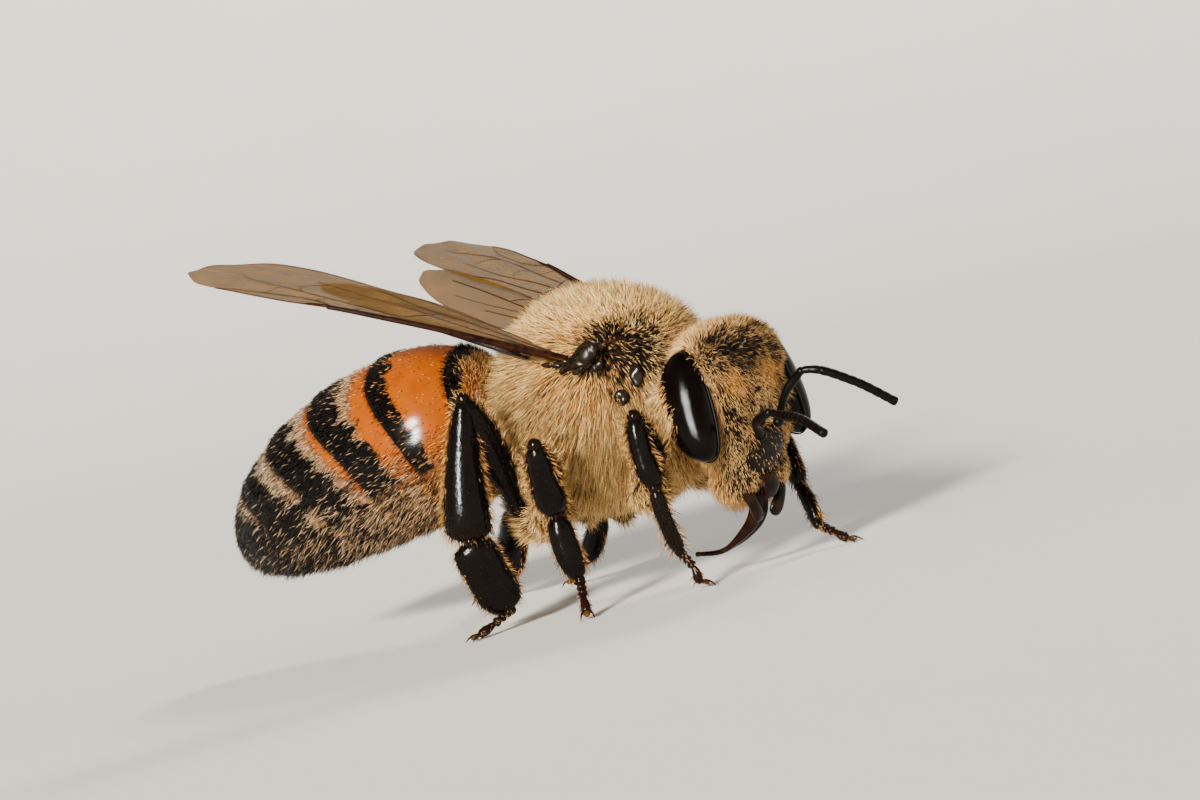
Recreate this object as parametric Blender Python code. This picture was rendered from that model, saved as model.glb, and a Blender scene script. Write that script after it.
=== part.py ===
"""A honey bee worker as a still, life-size model, standing on its six feet.

The bee is built in its own frame, in millimetres scaled by MM: the origin is on the
ground under the middle of the thorax, +X is the way it faces, +Y its left side and
+Z up. At the end an empty carries the whole model so that the ground point under
the middle of its bounding box is the world's origin.
Run it with: blender --background --python part.py
"""

import math

import bmesh
import bpy
from mathutils import Matrix, Vector

MM = 0.001
GAP = 0.05  # clear space between neighbouring pieces
UP = Vector((0.0, 0.0, 1.0))

# Thorax: where each cross section stands, its top, its underside and its half width.
THORAX_SECTIONS = (
    (-1.95, 4.95, 3.60, 0.80),
    (-1.85, 5.55, 2.70, 1.35),
    (-1.45, 6.25, 2.05, 1.80),
    (-0.75, 6.75, 1.80, 2.06),
    (0.10, 6.96, 1.70, 2.18),
    (1.00, 6.90, 1.75, 2.12),
    (1.75, 6.68, 1.92, 1.92),
    (2.30, 6.35, 2.20, 1.60),
    (2.75, 6.02, 2.65, 1.20),
    (2.95, 5.55, 3.30, 0.65),
)
THORAX_SIDES = 24
THORAX_MIDDLE = 0.48  # where its widest line lies, as a share of its height
THORAX_POWER = 2.15
THORAX_POWER_BELOW = 1.75

# Head: a flattened, rounded triangle turned to the bee's right and tipped forward.
HEAD_CENTRE = Vector((3.52, -0.36, 3.56))
HEAD_TURN = math.radians(-20.0)
HEAD_TIP = math.radians(6.0)
# Each level of the head: height over its centre, half width, face depth, back depth.
HEAD_LEVELS = (
    (-1.90, 0.42, 0.42, 0.10),
    (-1.72, 0.72, 0.66, 0.30),
    (-1.35, 1.02, 0.84, 0.48),
    (-0.90, 1.32, 0.92, 0.62),
    (-0.30, 1.62, 0.90, 0.72),
    (0.35, 1.76, 0.84, 0.80),
    (0.95, 1.70, 0.76, 0.86),
    (1.40, 1.48, 0.66, 0.86),
    (1.72, 1.12, 0.48, 0.74),
    (1.90, 0.62, 0.26, 0.50),
)
HEAD_SIDES = 24
HEAD_POWER = 2.3
EYE_CENTRE = Vector((-0.04, 1.42, 0.22))
EYE_HALF_SIZE = Vector((0.62, 0.50, 1.20))
EYE_LEAN = math.radians(7.0)
EYE_RAKE = math.radians(15.0)  # how far forward its lower end lies
EYE_BEND = 0.28  # how far both ends bow forward, as a share of its half width
EYE_FACES = (16, 12)  # around and from pole to pole
SMALL_FACES = (12, 8)

# Mouthparts and feelers: paths, and the thickness at the two ends of each.
MANDIBLE_PATH = ((0.20, 0.52, -1.60), (0.32, 0.50, -2.05), (0.30, 0.26, -2.48))
MANDIBLE_THICKNESS = (0.52, 0.30)
MANDIBLE_STATIONS = (0.0, 0.15, 0.5, 0.88, 1.0)
PROBOSCIS_PATH = ((3.62, -0.42, 1.70), (3.42, -0.42, 1.18), (2.98, -0.40, 0.78),
                  (2.42, -0.32, 0.52), (1.70, -0.20, 0.58))
PROBOSCIS_THICKNESS = (0.62, 0.44)
PROBOSCIS_STATIONS = (0.0, 0.12, 0.28, 0.44, 0.6, 0.8, 0.93, 1.0)
ROUNDED_END = 0.7  # the size of a rounded end, as a share of its limb
FEELER_THICKNESS = 0.44
FEELER_SIZES = ((0.0, 0.72), (0.12, 1.0), (0.5, 0.94), (0.9, 1.0), (1.0, ROUNDED_END))
FEELER_PATHS = {
    "right": {"scape": ((4.02, -0.96, 3.02), (4.36, -1.36, 3.16), (4.92, -1.80, 3.32)),
              "flagellum": ((4.94, -1.84, 3.34), (5.90, -2.75, 3.18), (6.62, -3.45, 2.84))},
    "left": {"scape": ((4.30, -0.36, 3.12), (4.62, -0.10, 3.56), (5.02, 0.20, 3.92)),
             "flagellum": ((5.06, 0.22, 3.95), (5.85, 0.66, 3.54), (6.56, 1.20, 2.82))},
}

# Abdomen: it hangs back from the waist along an arc and is cut into six tergites.
WAIST = Vector((-2.06, 0.0, 4.52))
WAIST_HALF_SIZE = (0.42, 0.42, 0.34)
ABDOMEN_LENGTH = 7.66
ABDOMEN_DROOP = math.radians(32.0)
ABDOMEN_HALF_WIDTH = 2.12
ABDOMEN_HALF_HEIGHT = 2.12
ABDOMEN_WIDEST = 0.30
ABDOMEN_BLUNTNESS = 2.6
ABDOMEN_TAPER = 2.2
ABDOMEN_POWER = 2.1
ABDOMEN_ENDS = (0.012, 0.992)  # where its flat ends lie, as shares of its length
TERGITE_EDGES = (0.0, 0.085, 0.265, 0.485, 0.67, 0.83, 1.0)
TERGITE_STEP = 0.035
TERGITE_RINGS = 5
TIP_CROWDING = 0.7  # rings stand closer together near the tip
ABDOMEN_SIDES = 24

# Wings: flat plates; each has its root, its tip and how far it leans about its length.
WING_THICKNESS = 0.3
WING_STEPS = 12
FOREWING_CHORD = 2.9
HINDWING_CHORD = 1.8
WINGS = {
    "forewing_right": ((0.70, -2.02, 5.40), (-6.35, -5.00, 8.92), 5.0),
    "hindwing_right": ((-0.20, -1.62, 5.36), (-5.05, -1.95, 8.09), 5.0),
    "forewing_left": ((0.70, 2.02, 5.50), (-5.30, 7.10, 8.38), 0.0),
    "hindwing_left": ((-0.10, 1.80, 5.30), (-4.85, 3.95, 7.80), -9.0),
}
# Outlines: share of the length, leading edge and trailing edge as shares of the chord.
FOREWING_OUTLINE = ((0.0, 0.05, -0.08), (0.10, 0.07, -0.20), (0.30, 0.09, -0.50),
                    (0.50, 0.10, -0.74), (0.70, 0.10, -0.89), (0.84, 0.07, -0.88),
                    (0.94, -0.02, -0.70), (1.0, -0.20, -0.38))
HINDWING_OUTLINE = ((0.0, 0.05, -0.12), (0.12, 0.08, -0.40), (0.32, 0.12, -0.76),
                    (0.52, 0.13, -0.86), (0.72, 0.12, -0.82), (0.90, 0.04, -0.62),
                    (1.0, -0.14, -0.36))
TEGULA_CENTRE = Vector((1.12, 1.92, 5.42))
TEGULA_HALF_SIZE = Vector((0.40, 0.30, 0.34))

# Legs: hip, trochanter, knee, ankle, heel and toe of each, right side near the viewer.
LEGS = {
    "fore_right": ((1.60, -0.85, 2.45), (1.92, -1.60, 2.15), (2.09, -2.42, 3.95),
                   (2.12, -2.30, 2.36), (2.15, -2.08, 0.86), (2.52, -1.78, 0.22)),
    "mid_right": ((-0.40, -0.90, 2.25), (-0.58, -1.75, 2.00), (0.10, -3.30, 3.85),
                  (-0.07, -2.72, 2.27), (0.05, -2.62, 0.80), (0.36, -3.30, 0.22)),
    "hind_right": ((-1.20, -0.85, 2.40), (-1.42, -1.70, 2.20), (-1.60, -2.72, 5.10),
                   (-2.16, -2.90, 2.09), (-1.80, -2.50, 0.42), (-2.30, -3.42, 0.22)),
    "fore_left": ((1.60, 0.85, 2.45), (1.92, 1.55, 2.15), (3.36, 2.06, 2.78),
                  (3.66, 1.80, 1.42), (3.92, 1.66, 0.52), (4.72, 1.42, 0.22)),
    "mid_left": ((-0.40, 0.90, 2.25), (-0.62, 1.75, 2.00), (-0.95, 3.12, 3.35),
                 (-1.68, 2.72, 1.62), (-2.46, 2.98, 0.60), (-3.25, 3.46, 0.22)),
    "hind_left": ((-1.20, 0.85, 2.40), (-1.50, 1.70, 2.20), (-2.90, 3.20, 4.90),
                  (-3.90, 3.00, 2.02), (-4.60, 2.92, 0.60), (-5.60, 3.30, 0.22)),
}
SEGMENTS = ("coxa", "femur", "tibia", "basitarsus", "tarsus")
# Full width and thickness of each kind of leg segment at the stations that follow.
SEGMENT_STATIONS = (0.0, 0.12, 0.45, 0.86, 1.0)
SEGMENT_SIZES = {
    "coxa": ((0.70, 0.60), (0.95, 0.85), (0.95, 0.85), (0.80, 0.72), (0.56, 0.52)),
    "fore_femur": ((0.40, 0.40), (0.54, 0.50), (0.72, 0.66), (0.62, 0.56), (0.46, 0.42)),
    "fore_tibia": ((0.36, 0.36), (0.50, 0.46), (0.66, 0.58), (0.68, 0.58), (0.52, 0.46)),
    "fore_basitarsus": ((0.38, 0.36), (0.48, 0.46), (0.50, 0.46), (0.50, 0.46), (0.40, 0.38)),
    "mid_femur": ((0.40, 0.40), (0.54, 0.50), (0.74, 0.66), (0.64, 0.56), (0.46, 0.42)),
    "mid_tibia": ((0.36, 0.36), (0.50, 0.46), (0.66, 0.56), (0.74, 0.60), (0.56, 0.48)),
    "mid_basitarsus": ((0.38, 0.36), (0.54, 0.46), (0.66, 0.50), (0.54, 0.46), (0.38, 0.36)),
    "hind_femur": ((0.42, 0.42), (0.56, 0.52), (0.78, 0.66), (0.70, 0.58), (0.48, 0.44)),
    "hind_tibia": ((0.36, 0.36), (0.52, 0.48), (0.86, 0.56), (1.12, 0.60), (0.92, 0.50)),
    "hind_basitarsus": ((0.62, 0.42), (0.96, 0.50), (1.06, 0.54), (0.98, 0.50), (0.70, 0.42)),
    "tarsus": ((0.36, 0.36), (0.42, 0.42), (0.46, 0.44), (0.50, 0.46), (0.40, 0.38)),
}
LEG_SIDES = 10
FEELER_SIDES = 8
LEG_OUTWARD = (0.42, 0.90)  # forward and sideways parts of the way a flat segment faces
FOOT_BEND = 0.62
FOOT_SAG = 0.1
PATH_STEP = 0.01  # the short share over which a path's direction is read

COLOURS = {
    "thorax": (0.50, 0.36, 0.19), "head": (0.34, 0.24, 0.13), "eye": (0.015, 0.009, 0.008),
    "mouth": (0.10, 0.03, 0.015), "feeler": (0.012, 0.010, 0.010), "leg": (0.014, 0.011, 0.011),
    "foot": (0.09, 0.03, 0.015), "wing": (0.34, 0.20, 0.08), "sclerite": (0.06, 0.035, 0.02),
    "waist": (0.08, 0.04, 0.02), "orange": (0.62, 0.22, 0.04), "dark": (0.10, 0.06, 0.03),
}
ROUGHNESS = {"eye": 0.12, "leg": 0.25, "wing": 0.3, "mouth": 0.3, "sclerite": 0.3}
PLAIN_ROUGHNESS = 0.6
SHARP_ANGLE = math.radians(45.0)


def clear_scene():
    for item in list(bpy.data.objects):
        bpy.data.objects.remove(item, do_unlink=True)


def new_collection(name):
    collection = bpy.data.collections.new(name)
    bpy.context.scene.collection.children.link(collection)
    return collection


def new_material(name, finish):
    material = bpy.data.materials.new(name)
    material.use_nodes = True
    shader = material.node_tree.nodes["Principled BSDF"]
    shader.inputs["Base Color"].default_value = (*COLOURS[finish], 1.0)
    shader.inputs["Roughness"].default_value = ROUGHNESS.get(finish, PLAIN_ROUGHNESS)
    shader.inputs["Metallic"].default_value = 0.0
    return material


def between(rows, place):
    """The row at a place in a table whose first column rises, on smooth curves."""
    last = len(rows) - 1
    index = 0
    while index < last - 1 and place > rows[index + 1][0]:
        index += 1
    low, high = rows[index], rows[index + 1]
    before, after = rows[max(index - 1, 0)], rows[min(index + 2, last)]
    span = high[0] - low[0]
    share = min(max((place - low[0]) / span, 0.0), 1.0)
    values = []
    for column in range(1, len(low)):
        rise_low = (high[column] - before[column]) / (high[0] - before[0]) * span
        rise_high = (after[column] - low[column]) / (after[0] - low[0]) * span
        values.append(hermite(low[column], high[column], rise_low, rise_high, share))
    return values


def hermite(start, end, rise_start, rise_end, share):
    square, cube = share**2, share**3
    return (start * (2 * cube - 3 * square + 1) + rise_start * (cube - 2 * square + share)
            + end * (3 * square - 2 * cube) + rise_end * (cube - square))


def along(path, share):
    """The point at a share of a smooth curve through the path's points."""
    rows = [(index / (len(path) - 1), *point) for index, point in enumerate(path)]
    return Vector(between(rows, share))


def section(centre, side, top, half_width, above, below, count, power=2.0,
            power_below=None):
    """One closed cross section: a superellipse with its own height above and below."""
    points = []
    for index in range(count):
        angle = math.tau * (index + 0.5) / count
        bend = 2 / (power if math.sin(angle) > 0 else power_below or power)
        across = math.copysign(abs(math.cos(angle)) ** bend, math.cos(angle))
        height = math.copysign(abs(math.sin(angle)) ** bend, math.sin(angle))
        reach = above if height > 0 else below
        points.append(centre + side * across * half_width + top * height * reach)
    return points


def loft(name, rings):
    """A closed mesh through rings of equal count, flat at its two ends."""
    mesh = bpy.data.meshes.new(name)
    shape = bmesh.new()
    loops = [[shape.verts.new(point * MM) for point in ring] for ring in rings]
    for lower, upper in zip(loops, loops[1:]):
        for index in range(len(lower)):
            following = (index + 1) % len(lower)
            shape.faces.new((lower[index], lower[following], upper[following], upper[index]))
    shape.faces.new(list(reversed(loops[0])))
    shape.faces.new(loops[-1])
    bmesh.ops.recalc_face_normals(shape, faces=shape.faces)
    shape.to_mesh(mesh)
    shape.free()
    return mesh


def ellipsoid(name, centre, half_size, turn, faces, grow=0.0, bend=0.0):
    """A UV sphere, bowed forward at its poles, stretched to three half sizes and placed."""
    mesh = bpy.data.meshes.new(name)
    shape = bmesh.new()
    around, up = faces
    bmesh.ops.create_uvsphere(shape, u_segments=around, v_segments=up, radius=1.0)
    for vertex in shape.verts:
        vertex.co.x += bend * vertex.co.z ** 2
    stretch = Matrix.Diagonal((*[(size + grow) * MM for size in half_size], 1.0))
    bmesh.ops.transform(shape, matrix=turn.to_4x4() @ stretch, verts=shape.verts)
    bmesh.ops.translate(shape, vec=centre * MM, verts=shape.verts)
    shape.to_mesh(mesh)
    shape.free()
    return mesh


class Model:
    """Keeps the two collections and the empty that carries every piece."""

    def __init__(self):
        self.parts = new_collection("honey_bee")
        self.cutters = new_collection("cutters")
        self.carrier = bpy.data.objects.new("ground_point", None)
        self.parts.objects.link(self.carrier)

    def add(self, mesh, finish):
        mesh.shade_smooth()
        mesh.set_sharp_from_angle(angle=SHARP_ANGLE)
        mesh.materials.append(new_material(mesh.name, finish))
        piece = bpy.data.objects.new(mesh.name, mesh)
        piece.parent = self.carrier
        self.parts.objects.link(piece)
        return piece

    def add_cutter(self, mesh):
        cutter = bpy.data.objects.new(mesh.name, mesh)
        cutter.parent = self.carrier
        cutter.hide_render = True
        cutter.display_type = "WIRE"
        self.cutters.objects.link(cutter)
        return cutter

    def carve(self, piece, *cutters):
        """Cut room for neighbours out of a piece, where they would meet."""
        for cutter in cutters:
            cut = piece.modifiers.new(cutter.name, "BOOLEAN")
            cut.operation = "DIFFERENCE"
            cut.solver = "EXACT"
            cut.object = cutter

    def stand_on_origin(self):
        """Move the carrier so that the middle of the box stands on the origin."""
        bpy.context.view_layer.update()
        corners = [piece.matrix_world @ Vector(corner) for piece in self.parts.objects
                   if piece.type == "MESH" for corner in piece.bound_box]
        for axis in (0, 1):
            reach = [corner[axis] for corner in corners]
            self.carrier.location[axis] -= (min(reach) + max(reach)) / 2


def thorax_mesh(name, grow=0.0):
    forward = Vector((1.0, 0.0, 0.0))
    side = Vector((0.0, 1.0, 0.0))
    rings = []
    last = len(THORAX_SECTIONS) - 1
    for index, (place, top, low, half_width) in enumerate(THORAX_SECTIONS):
        push = grow * ((index == last) - (index == 0))
        middle = low + (top - low) * THORAX_MIDDLE
        centre = forward * (place + push) + UP * middle
        rings.append(section(centre, side, UP, half_width + grow, top - middle + grow,
                             middle - low + grow, THORAX_SIDES, power=THORAX_POWER,
                             power_below=THORAX_POWER_BELOW))
    return loft(name, rings)


def head_turn():
    return Matrix.Rotation(HEAD_TURN, 3, "Z") @ Matrix.Rotation(HEAD_TIP, 3, "Y")


def in_head(point):
    """A point given in the head's own axes: face forward, left and up."""
    return HEAD_CENTRE + head_turn() @ Vector(point)


def head_mesh(name, grow=0.0):
    turn = head_turn()
    face, side, top = (turn @ axis for axis in Matrix.Identity(3))
    rings = []
    last = len(HEAD_LEVELS) - 1
    for index, (level, half_width, front, back) in enumerate(HEAD_LEVELS):
        push = grow * ((index == last) - (index == 0))
        centre = HEAD_CENTRE + top * (level + push)
        rings.append(section(centre, side, face, half_width + grow, front + grow,
                             back + grow, HEAD_SIDES, power=HEAD_POWER))
    return loft(name, rings)


def eye_mesh(name, hand, grow=0.0):
    lean = Matrix.Rotation(EYE_LEAN * hand, 3, "X") @ Matrix.Rotation(-EYE_RAKE, 3, "Y")
    place = Vector((EYE_CENTRE.x, EYE_CENTRE.y * hand, EYE_CENTRE.z))
    return ellipsoid(name, in_head(place), EYE_HALF_SIZE, head_turn() @ lean, EYE_FACES, grow,
                     EYE_BEND)


def build_head(model):
    head = model.add(head_mesh("head"), "head")
    for side, hand in (("left", 1), ("right", -1)):
        model.add(eye_mesh(f"eye_{side}", hand), "eye")
        model.carve(head, model.add_cutter(eye_mesh(f"eye_socket_{side}", hand, GAP)))
    head_space = model.add_cutter(head_mesh("head_space", GAP))
    build_mouth(model, head_space)
    for side, paths in FEELER_PATHS.items():
        scape = model.add(feeler_mesh(f"scape_{side}", paths["scape"]), "feeler")
        model.carve(scape, head_space)
        flagellum = model.add(feeler_mesh(f"flagellum_{side}", paths["flagellum"]), "feeler")
        model.carve(flagellum, model.add_cutter(
            feeler_mesh(f"scape_space_{side}", paths["scape"], GAP)))
    return head_space


def feeler_mesh(name, path, grow=0.0):
    rows = [(share, FEELER_THICKNESS * scale, FEELER_THICKNESS * scale)
            for share, scale in FEELER_SIZES]
    return limb(name, path, rows, FEELER_SIDES, UP, grow)


def limb(name, path, rows, sides, outward, grow=0.0):
    """A rounded limb along a path; rows give share, full width and thickness."""
    rings = []
    for index, (share, width, thickness) in enumerate(rows):
        start = along(path, max(share - PATH_STEP, 0.0))
        end = along(path, min(share + PATH_STEP, 1.0))
        direction = (end - start).normalized()
        across = direction.cross(outward).normalized()
        top = across.cross(direction)
        centre = along(path, share) + direction * grow * (
            (index == len(rows) - 1) - (index == 0))
        rings.append(section(centre, across, top, width / 2 + grow, thickness / 2 + grow,
                             thickness / 2 + grow, sides))
    return loft(name, rings)


def tapered(thickness, shares):
    """Rows for a round limb that goes from one thickness to another."""
    first, last = thickness
    rows = []
    for share in shares:
        size = first + (last - first) * share
        size *= ROUNDED_END if share in (0.0, 1.0) else 1.0
        rows.append((share, size, size))
    return rows


def build_mouth(model, head_space):
    front = head_turn() @ Vector((1.0, 0.0, 0.0))
    spaces = []
    for side, hand in (("left", 1), ("right", -1)):
        path = [in_head((out, hand * aside, up)) for out, aside, up in MANDIBLE_PATH]
        rows = tapered(MANDIBLE_THICKNESS, MANDIBLE_STATIONS)
        mandible = model.add(limb(f"mandible_{side}", path, rows, FEELER_SIDES, front), "mouth")
        model.carve(mandible, head_space)
        spaces.append(model.add_cutter(
            limb(f"mandible_space_{side}", path, rows, FEELER_SIDES, front, GAP)))
    path = [Vector(point) for point in PROBOSCIS_PATH]
    rows = tapered(PROBOSCIS_THICKNESS, PROBOSCIS_STATIONS)
    proboscis = model.add(limb("proboscis", path, rows, FEELER_SIDES, front), "mouth")
    model.carve(proboscis, head_space, *spaces)


def abdomen_point(share):
    """Centre and direction of the abdomen's arc at a share of its length."""
    angle = ABDOMEN_DROOP * share
    radius = ABDOMEN_LENGTH / ABDOMEN_DROOP
    centre = WAIST + Vector((-math.sin(angle), 0.0, math.cos(angle) - 1.0)) * radius
    return centre, Vector((-math.cos(angle), 0.0, -math.sin(angle)))


def abdomen_fullness(share):
    """How full the abdomen is at a share of its length: blunt in front, long behind."""
    if share < ABDOMEN_WIDEST:
        rest = 1.0 - share / ABDOMEN_WIDEST
        return max(1.0 - rest**ABDOMEN_BLUNTNESS, 0.0) ** (1 / ABDOMEN_BLUNTNESS)
    rest = (share - ABDOMEN_WIDEST) / (1.0 - ABDOMEN_WIDEST)
    return math.sqrt(max(1.0 - rest**ABDOMEN_TAPER, 0.0))


def tergite_mesh(name, start, end):
    side = Vector((0.0, 1.0, 0.0))
    half_gap = GAP / 2 / ABDOMEN_LENGTH
    first = start + half_gap if start > 0 else ABDOMEN_ENDS[0]
    last = end - half_gap if end < 1 else ABDOMEN_ENDS[1]
    rings = []
    for index in range(TERGITE_RINGS):
        step = index / (TERGITE_RINGS - 1)
        share = first + (last - first) * step ** (TIP_CROWDING if end == 1 else 1.0)
        centre, direction = abdomen_point(share)
        top = direction.cross(side)
        full = abdomen_fullness(share) * (1.0 - TERGITE_STEP * (1.0 - step))
        rings.append(section(centre, side, top, ABDOMEN_HALF_WIDTH * full,
                             ABDOMEN_HALF_HEIGHT * full, ABDOMEN_HALF_HEIGHT * full,
                             ABDOMEN_SIDES, power=ABDOMEN_POWER))
    return loft(name, rings)


def build_petiole(model, thorax_space):
    """The narrow waist, a short round link between thorax and abdomen."""
    turn = Matrix.Rotation(math.radians(90.0), 3, "Y")
    petiole = model.add(ellipsoid("petiole", WAIST, WAIST_HALF_SIZE, turn, SMALL_FACES),
                         "waist")
    model.carve(petiole, thorax_space)
    return model.add_cutter(
        ellipsoid("petiole_space", WAIST, WAIST_HALF_SIZE, turn, SMALL_FACES, GAP))


def build_abdomen(model, thorax_space, petiole_space):
    finishes = ("orange", "orange", "orange", "dark", "dark", "dark")
    for number, finish in enumerate(finishes, start=1):
        start, end = TERGITE_EDGES[number - 1], TERGITE_EDGES[number]
        tergite = model.add(tergite_mesh(f"abdomen_{number}", start, end), finish)
        if number == 1:
            model.carve(tergite, thorax_space, petiole_space)


def wing_mesh(name, outline, chord):
    """The outline as a flat plate, with its root at the origin and its tip along +X."""
    root, tip, lean = WINGS[name]
    length = (Vector(tip) - Vector(root)).length
    shares = [0.5 - 0.5 * math.cos(math.pi * index / WING_STEPS)
              for index in range(WING_STEPS + 1)]
    edges = [between(outline, share) for share in shares]
    front = [(share * length, lead * chord) for share, (lead, _) in zip(shares, edges)]
    back = [(share * length, trail * chord) for share, (_, trail) in zip(shares, edges)]
    curve = bpy.data.curves.new(name, "CURVE")
    curve.dimensions = "2D"
    curve.fill_mode = "BOTH"
    curve.extrude = WING_THICKNESS / 2 * MM
    points = front + back[::-1]
    spline = curve.splines.new("POLY")
    spline.points.add(len(points) - 1)
    for point, (across, up) in zip(spline.points, points):
        point.co = (across * MM, up * MM, 0.0, 1.0)
    spline.use_cyclic_u = True
    return curve_to_mesh(curve, name, wing_place(root, tip, lean))


def wing_place(root, tip, lean):
    """The matrix that lays a plate along its wing, leading edge outward."""
    root, tip = Vector(root), Vector(tip)
    length = (tip - root).normalized()
    outward = Vector((0.0, math.copysign(1.0, root.y), 0.0))
    leading = (outward - length * outward.dot(length)).normalized()
    turn = Matrix.Rotation(math.radians(lean) * math.copysign(1.0, root.y), 3, length)
    columns = Matrix((length, turn @ leading, turn @ length.cross(leading))).transposed()
    return Matrix.Translation(root * MM) @ columns.to_4x4()


def curve_to_mesh(curve, name, place):
    holder = bpy.data.objects.new(name + "_outline", curve)
    bpy.context.scene.collection.objects.link(holder)
    evaluated = holder.evaluated_get(bpy.context.evaluated_depsgraph_get())
    mesh = bpy.data.meshes.new_from_object(evaluated)
    mesh.name = name
    shape = bmesh.new()
    shape.from_mesh(mesh)
    bmesh.ops.remove_doubles(shape, verts=shape.verts, dist=1e-7)
    bmesh.ops.transform(shape, matrix=place, verts=shape.verts)
    bmesh.ops.recalc_face_normals(shape, faces=shape.faces)
    shape.to_mesh(mesh)
    shape.free()
    bpy.data.objects.remove(holder, do_unlink=True)
    return mesh


def build_wings(model, thorax_space):
    for side, hand in (("left", 1), ("right", -1)):
        centre = Vector((TEGULA_CENTRE.x, TEGULA_CENTRE.y * hand, TEGULA_CENTRE.z))
        upright = Matrix.Identity(3)
        tegula = model.add(ellipsoid(
            f"tegula_{side}", centre, TEGULA_HALF_SIZE, upright, SMALL_FACES), "sclerite")
        model.carve(tegula, thorax_space)
        room = model.add_cutter(ellipsoid(
            f"tegula_space_{side}", centre, TEGULA_HALF_SIZE, upright, SMALL_FACES, GAP))
        for kind, outline, chord in (("forewing", FOREWING_OUTLINE, FOREWING_CHORD),
                                     ("hindwing", HINDWING_OUTLINE, HINDWING_CHORD)):
            wing = model.add(wing_mesh(f"{kind}_{side}", outline, chord), "wing")
            model.carve(wing, thorax_space, room)


def leg_rows(kind):
    return [(share, *size) for share, size in zip(SEGMENT_STATIONS, SEGMENT_SIZES[kind])]


def flatten_foot(mesh):
    """The underside of the toe is a small flat on the ground."""
    for vertex in mesh.vertices:
        vertex.co.z = max(vertex.co.z, 0.0)


def pulled_back(joints, index, half_thickness):
    """Where a segment ends, short of its joint by the room that the bend needs."""
    start, joint = Vector(joints[index]), Vector(joints[index + 1])
    direction = (joint - start).normalized()
    if index + 2 == len(joints):
        return joint
    following = (Vector(joints[index + 2]) - joint).normalized()
    bend = direction.angle(following)
    room = half_thickness * math.sin(min(bend, math.pi / 2))
    return joint - direction * (GAP + room)


def build_leg(model, name, joints, thorax_space):
    ahead, aside = LEG_OUTWARD
    outward = Vector((ahead, math.copysign(aside, joints[0][1]), 0.0))
    half_end = SEGMENT_SIZES["tarsus"][0][0] / 2
    before = None
    for index, segment in enumerate(SEGMENTS):
        plain = segment in ("coxa", "tarsus")
        kind = segment if plain else f"{name.split('_')[0]}_{segment}"
        rows = leg_rows(kind)
        start = Vector(joints[index])
        path = [start, pulled_back(joints, index, half_end)]
        if segment == "tarsus":
            path.insert(1, start.lerp(path[-1], FOOT_BEND) - UP * FOOT_SAG)
        title = f"{name}_{segment}"
        mesh = limb(title, path, rows, LEG_SIDES, outward)
        if segment == "tarsus":
            flatten_foot(mesh)
        piece = model.add(mesh, "foot" if segment == "tarsus" else "leg")
        space = model.add_cutter(limb(title + "_space", path, rows, LEG_SIDES, outward, GAP))
        if segment in ("coxa", "femur"):
            model.carve(piece, thorax_space)
        if before:
            model.carve(before, space)
        before = piece


def main():
    clear_scene()
    model = Model()
    thorax = model.add(thorax_mesh("thorax"), "thorax")
    thorax_space = model.add_cutter(thorax_mesh("thorax_space", GAP))
    model.carve(thorax, build_head(model))
    petiole_space = build_petiole(model, thorax_space)
    build_abdomen(model, thorax_space, petiole_space)
    build_wings(model, thorax_space)
    for name, joints in LEGS.items():
        build_leg(model, name, joints, thorax_space)
    model.stand_on_origin()


main()
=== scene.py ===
"""A honey bee worker: skin, shell plates, films and a coat of hairs over the packed solids.

Shapes are worked out in millimetres in the bee's own frame: the ground point under the
middle of the thorax is the origin, +X the way it faces, +Y its left side and +Z up.
"""

import math

import bmesh
import bpy
import numpy as np
from bpy.props import FloatProperty, FloatVectorProperty, IntProperty, PointerProperty
from mathutils import Matrix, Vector
from mathutils.bvhtree import BVHTree


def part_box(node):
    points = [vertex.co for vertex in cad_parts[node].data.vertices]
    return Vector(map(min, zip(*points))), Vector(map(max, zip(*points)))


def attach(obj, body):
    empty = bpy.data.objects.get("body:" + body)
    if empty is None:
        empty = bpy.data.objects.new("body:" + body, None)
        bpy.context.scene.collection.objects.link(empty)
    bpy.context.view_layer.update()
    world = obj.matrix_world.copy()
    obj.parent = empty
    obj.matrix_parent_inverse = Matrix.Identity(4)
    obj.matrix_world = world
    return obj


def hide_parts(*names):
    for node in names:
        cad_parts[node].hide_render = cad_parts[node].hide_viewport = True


bl_info = {
    "name": "Honey bee worker",
    "version": (1, 0, 0),
    "blender": (4, 5, 0),
    "location": "3D Viewport > Sidebar > Honey bee",
    "description": "Builds a honey bee worker's skin, shell, wings and coat of hairs",
    "category": "Object",
}

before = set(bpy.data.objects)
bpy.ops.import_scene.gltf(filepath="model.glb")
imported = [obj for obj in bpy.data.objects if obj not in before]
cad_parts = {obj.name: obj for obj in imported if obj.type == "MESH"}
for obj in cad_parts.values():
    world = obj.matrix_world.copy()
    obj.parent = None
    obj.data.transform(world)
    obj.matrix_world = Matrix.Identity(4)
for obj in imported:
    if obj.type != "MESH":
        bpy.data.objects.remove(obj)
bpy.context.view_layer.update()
MM = 0.001
THORAX_BACK = -1.95  # where the thorax begins in the bee's own frame
SIDES = (("left", 1.0), ("right", -1.0))
LEGS = tuple(f"{pair}_{side}" for pair in ("fore", "mid", "hind") for side in ("left", "right"))
UP = np.array((0.0, 0.0, 1.0))


# --- the frame ---


def bee_shift():
    """Where the bee's own origin stands in the frame, in millimetres."""
    low, high = (np.array(corner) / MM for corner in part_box("thorax"))
    return np.array((low[0] - THORAX_BACK, (low[1] + high[1]) / 2, 0.0))


SHIFT = bee_shift()


def corners_of(box):
    """A node's lowest and highest corners in the bee's frame, from its box."""
    return [np.array(corner) / MM - SHIFT for corner in box]


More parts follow.
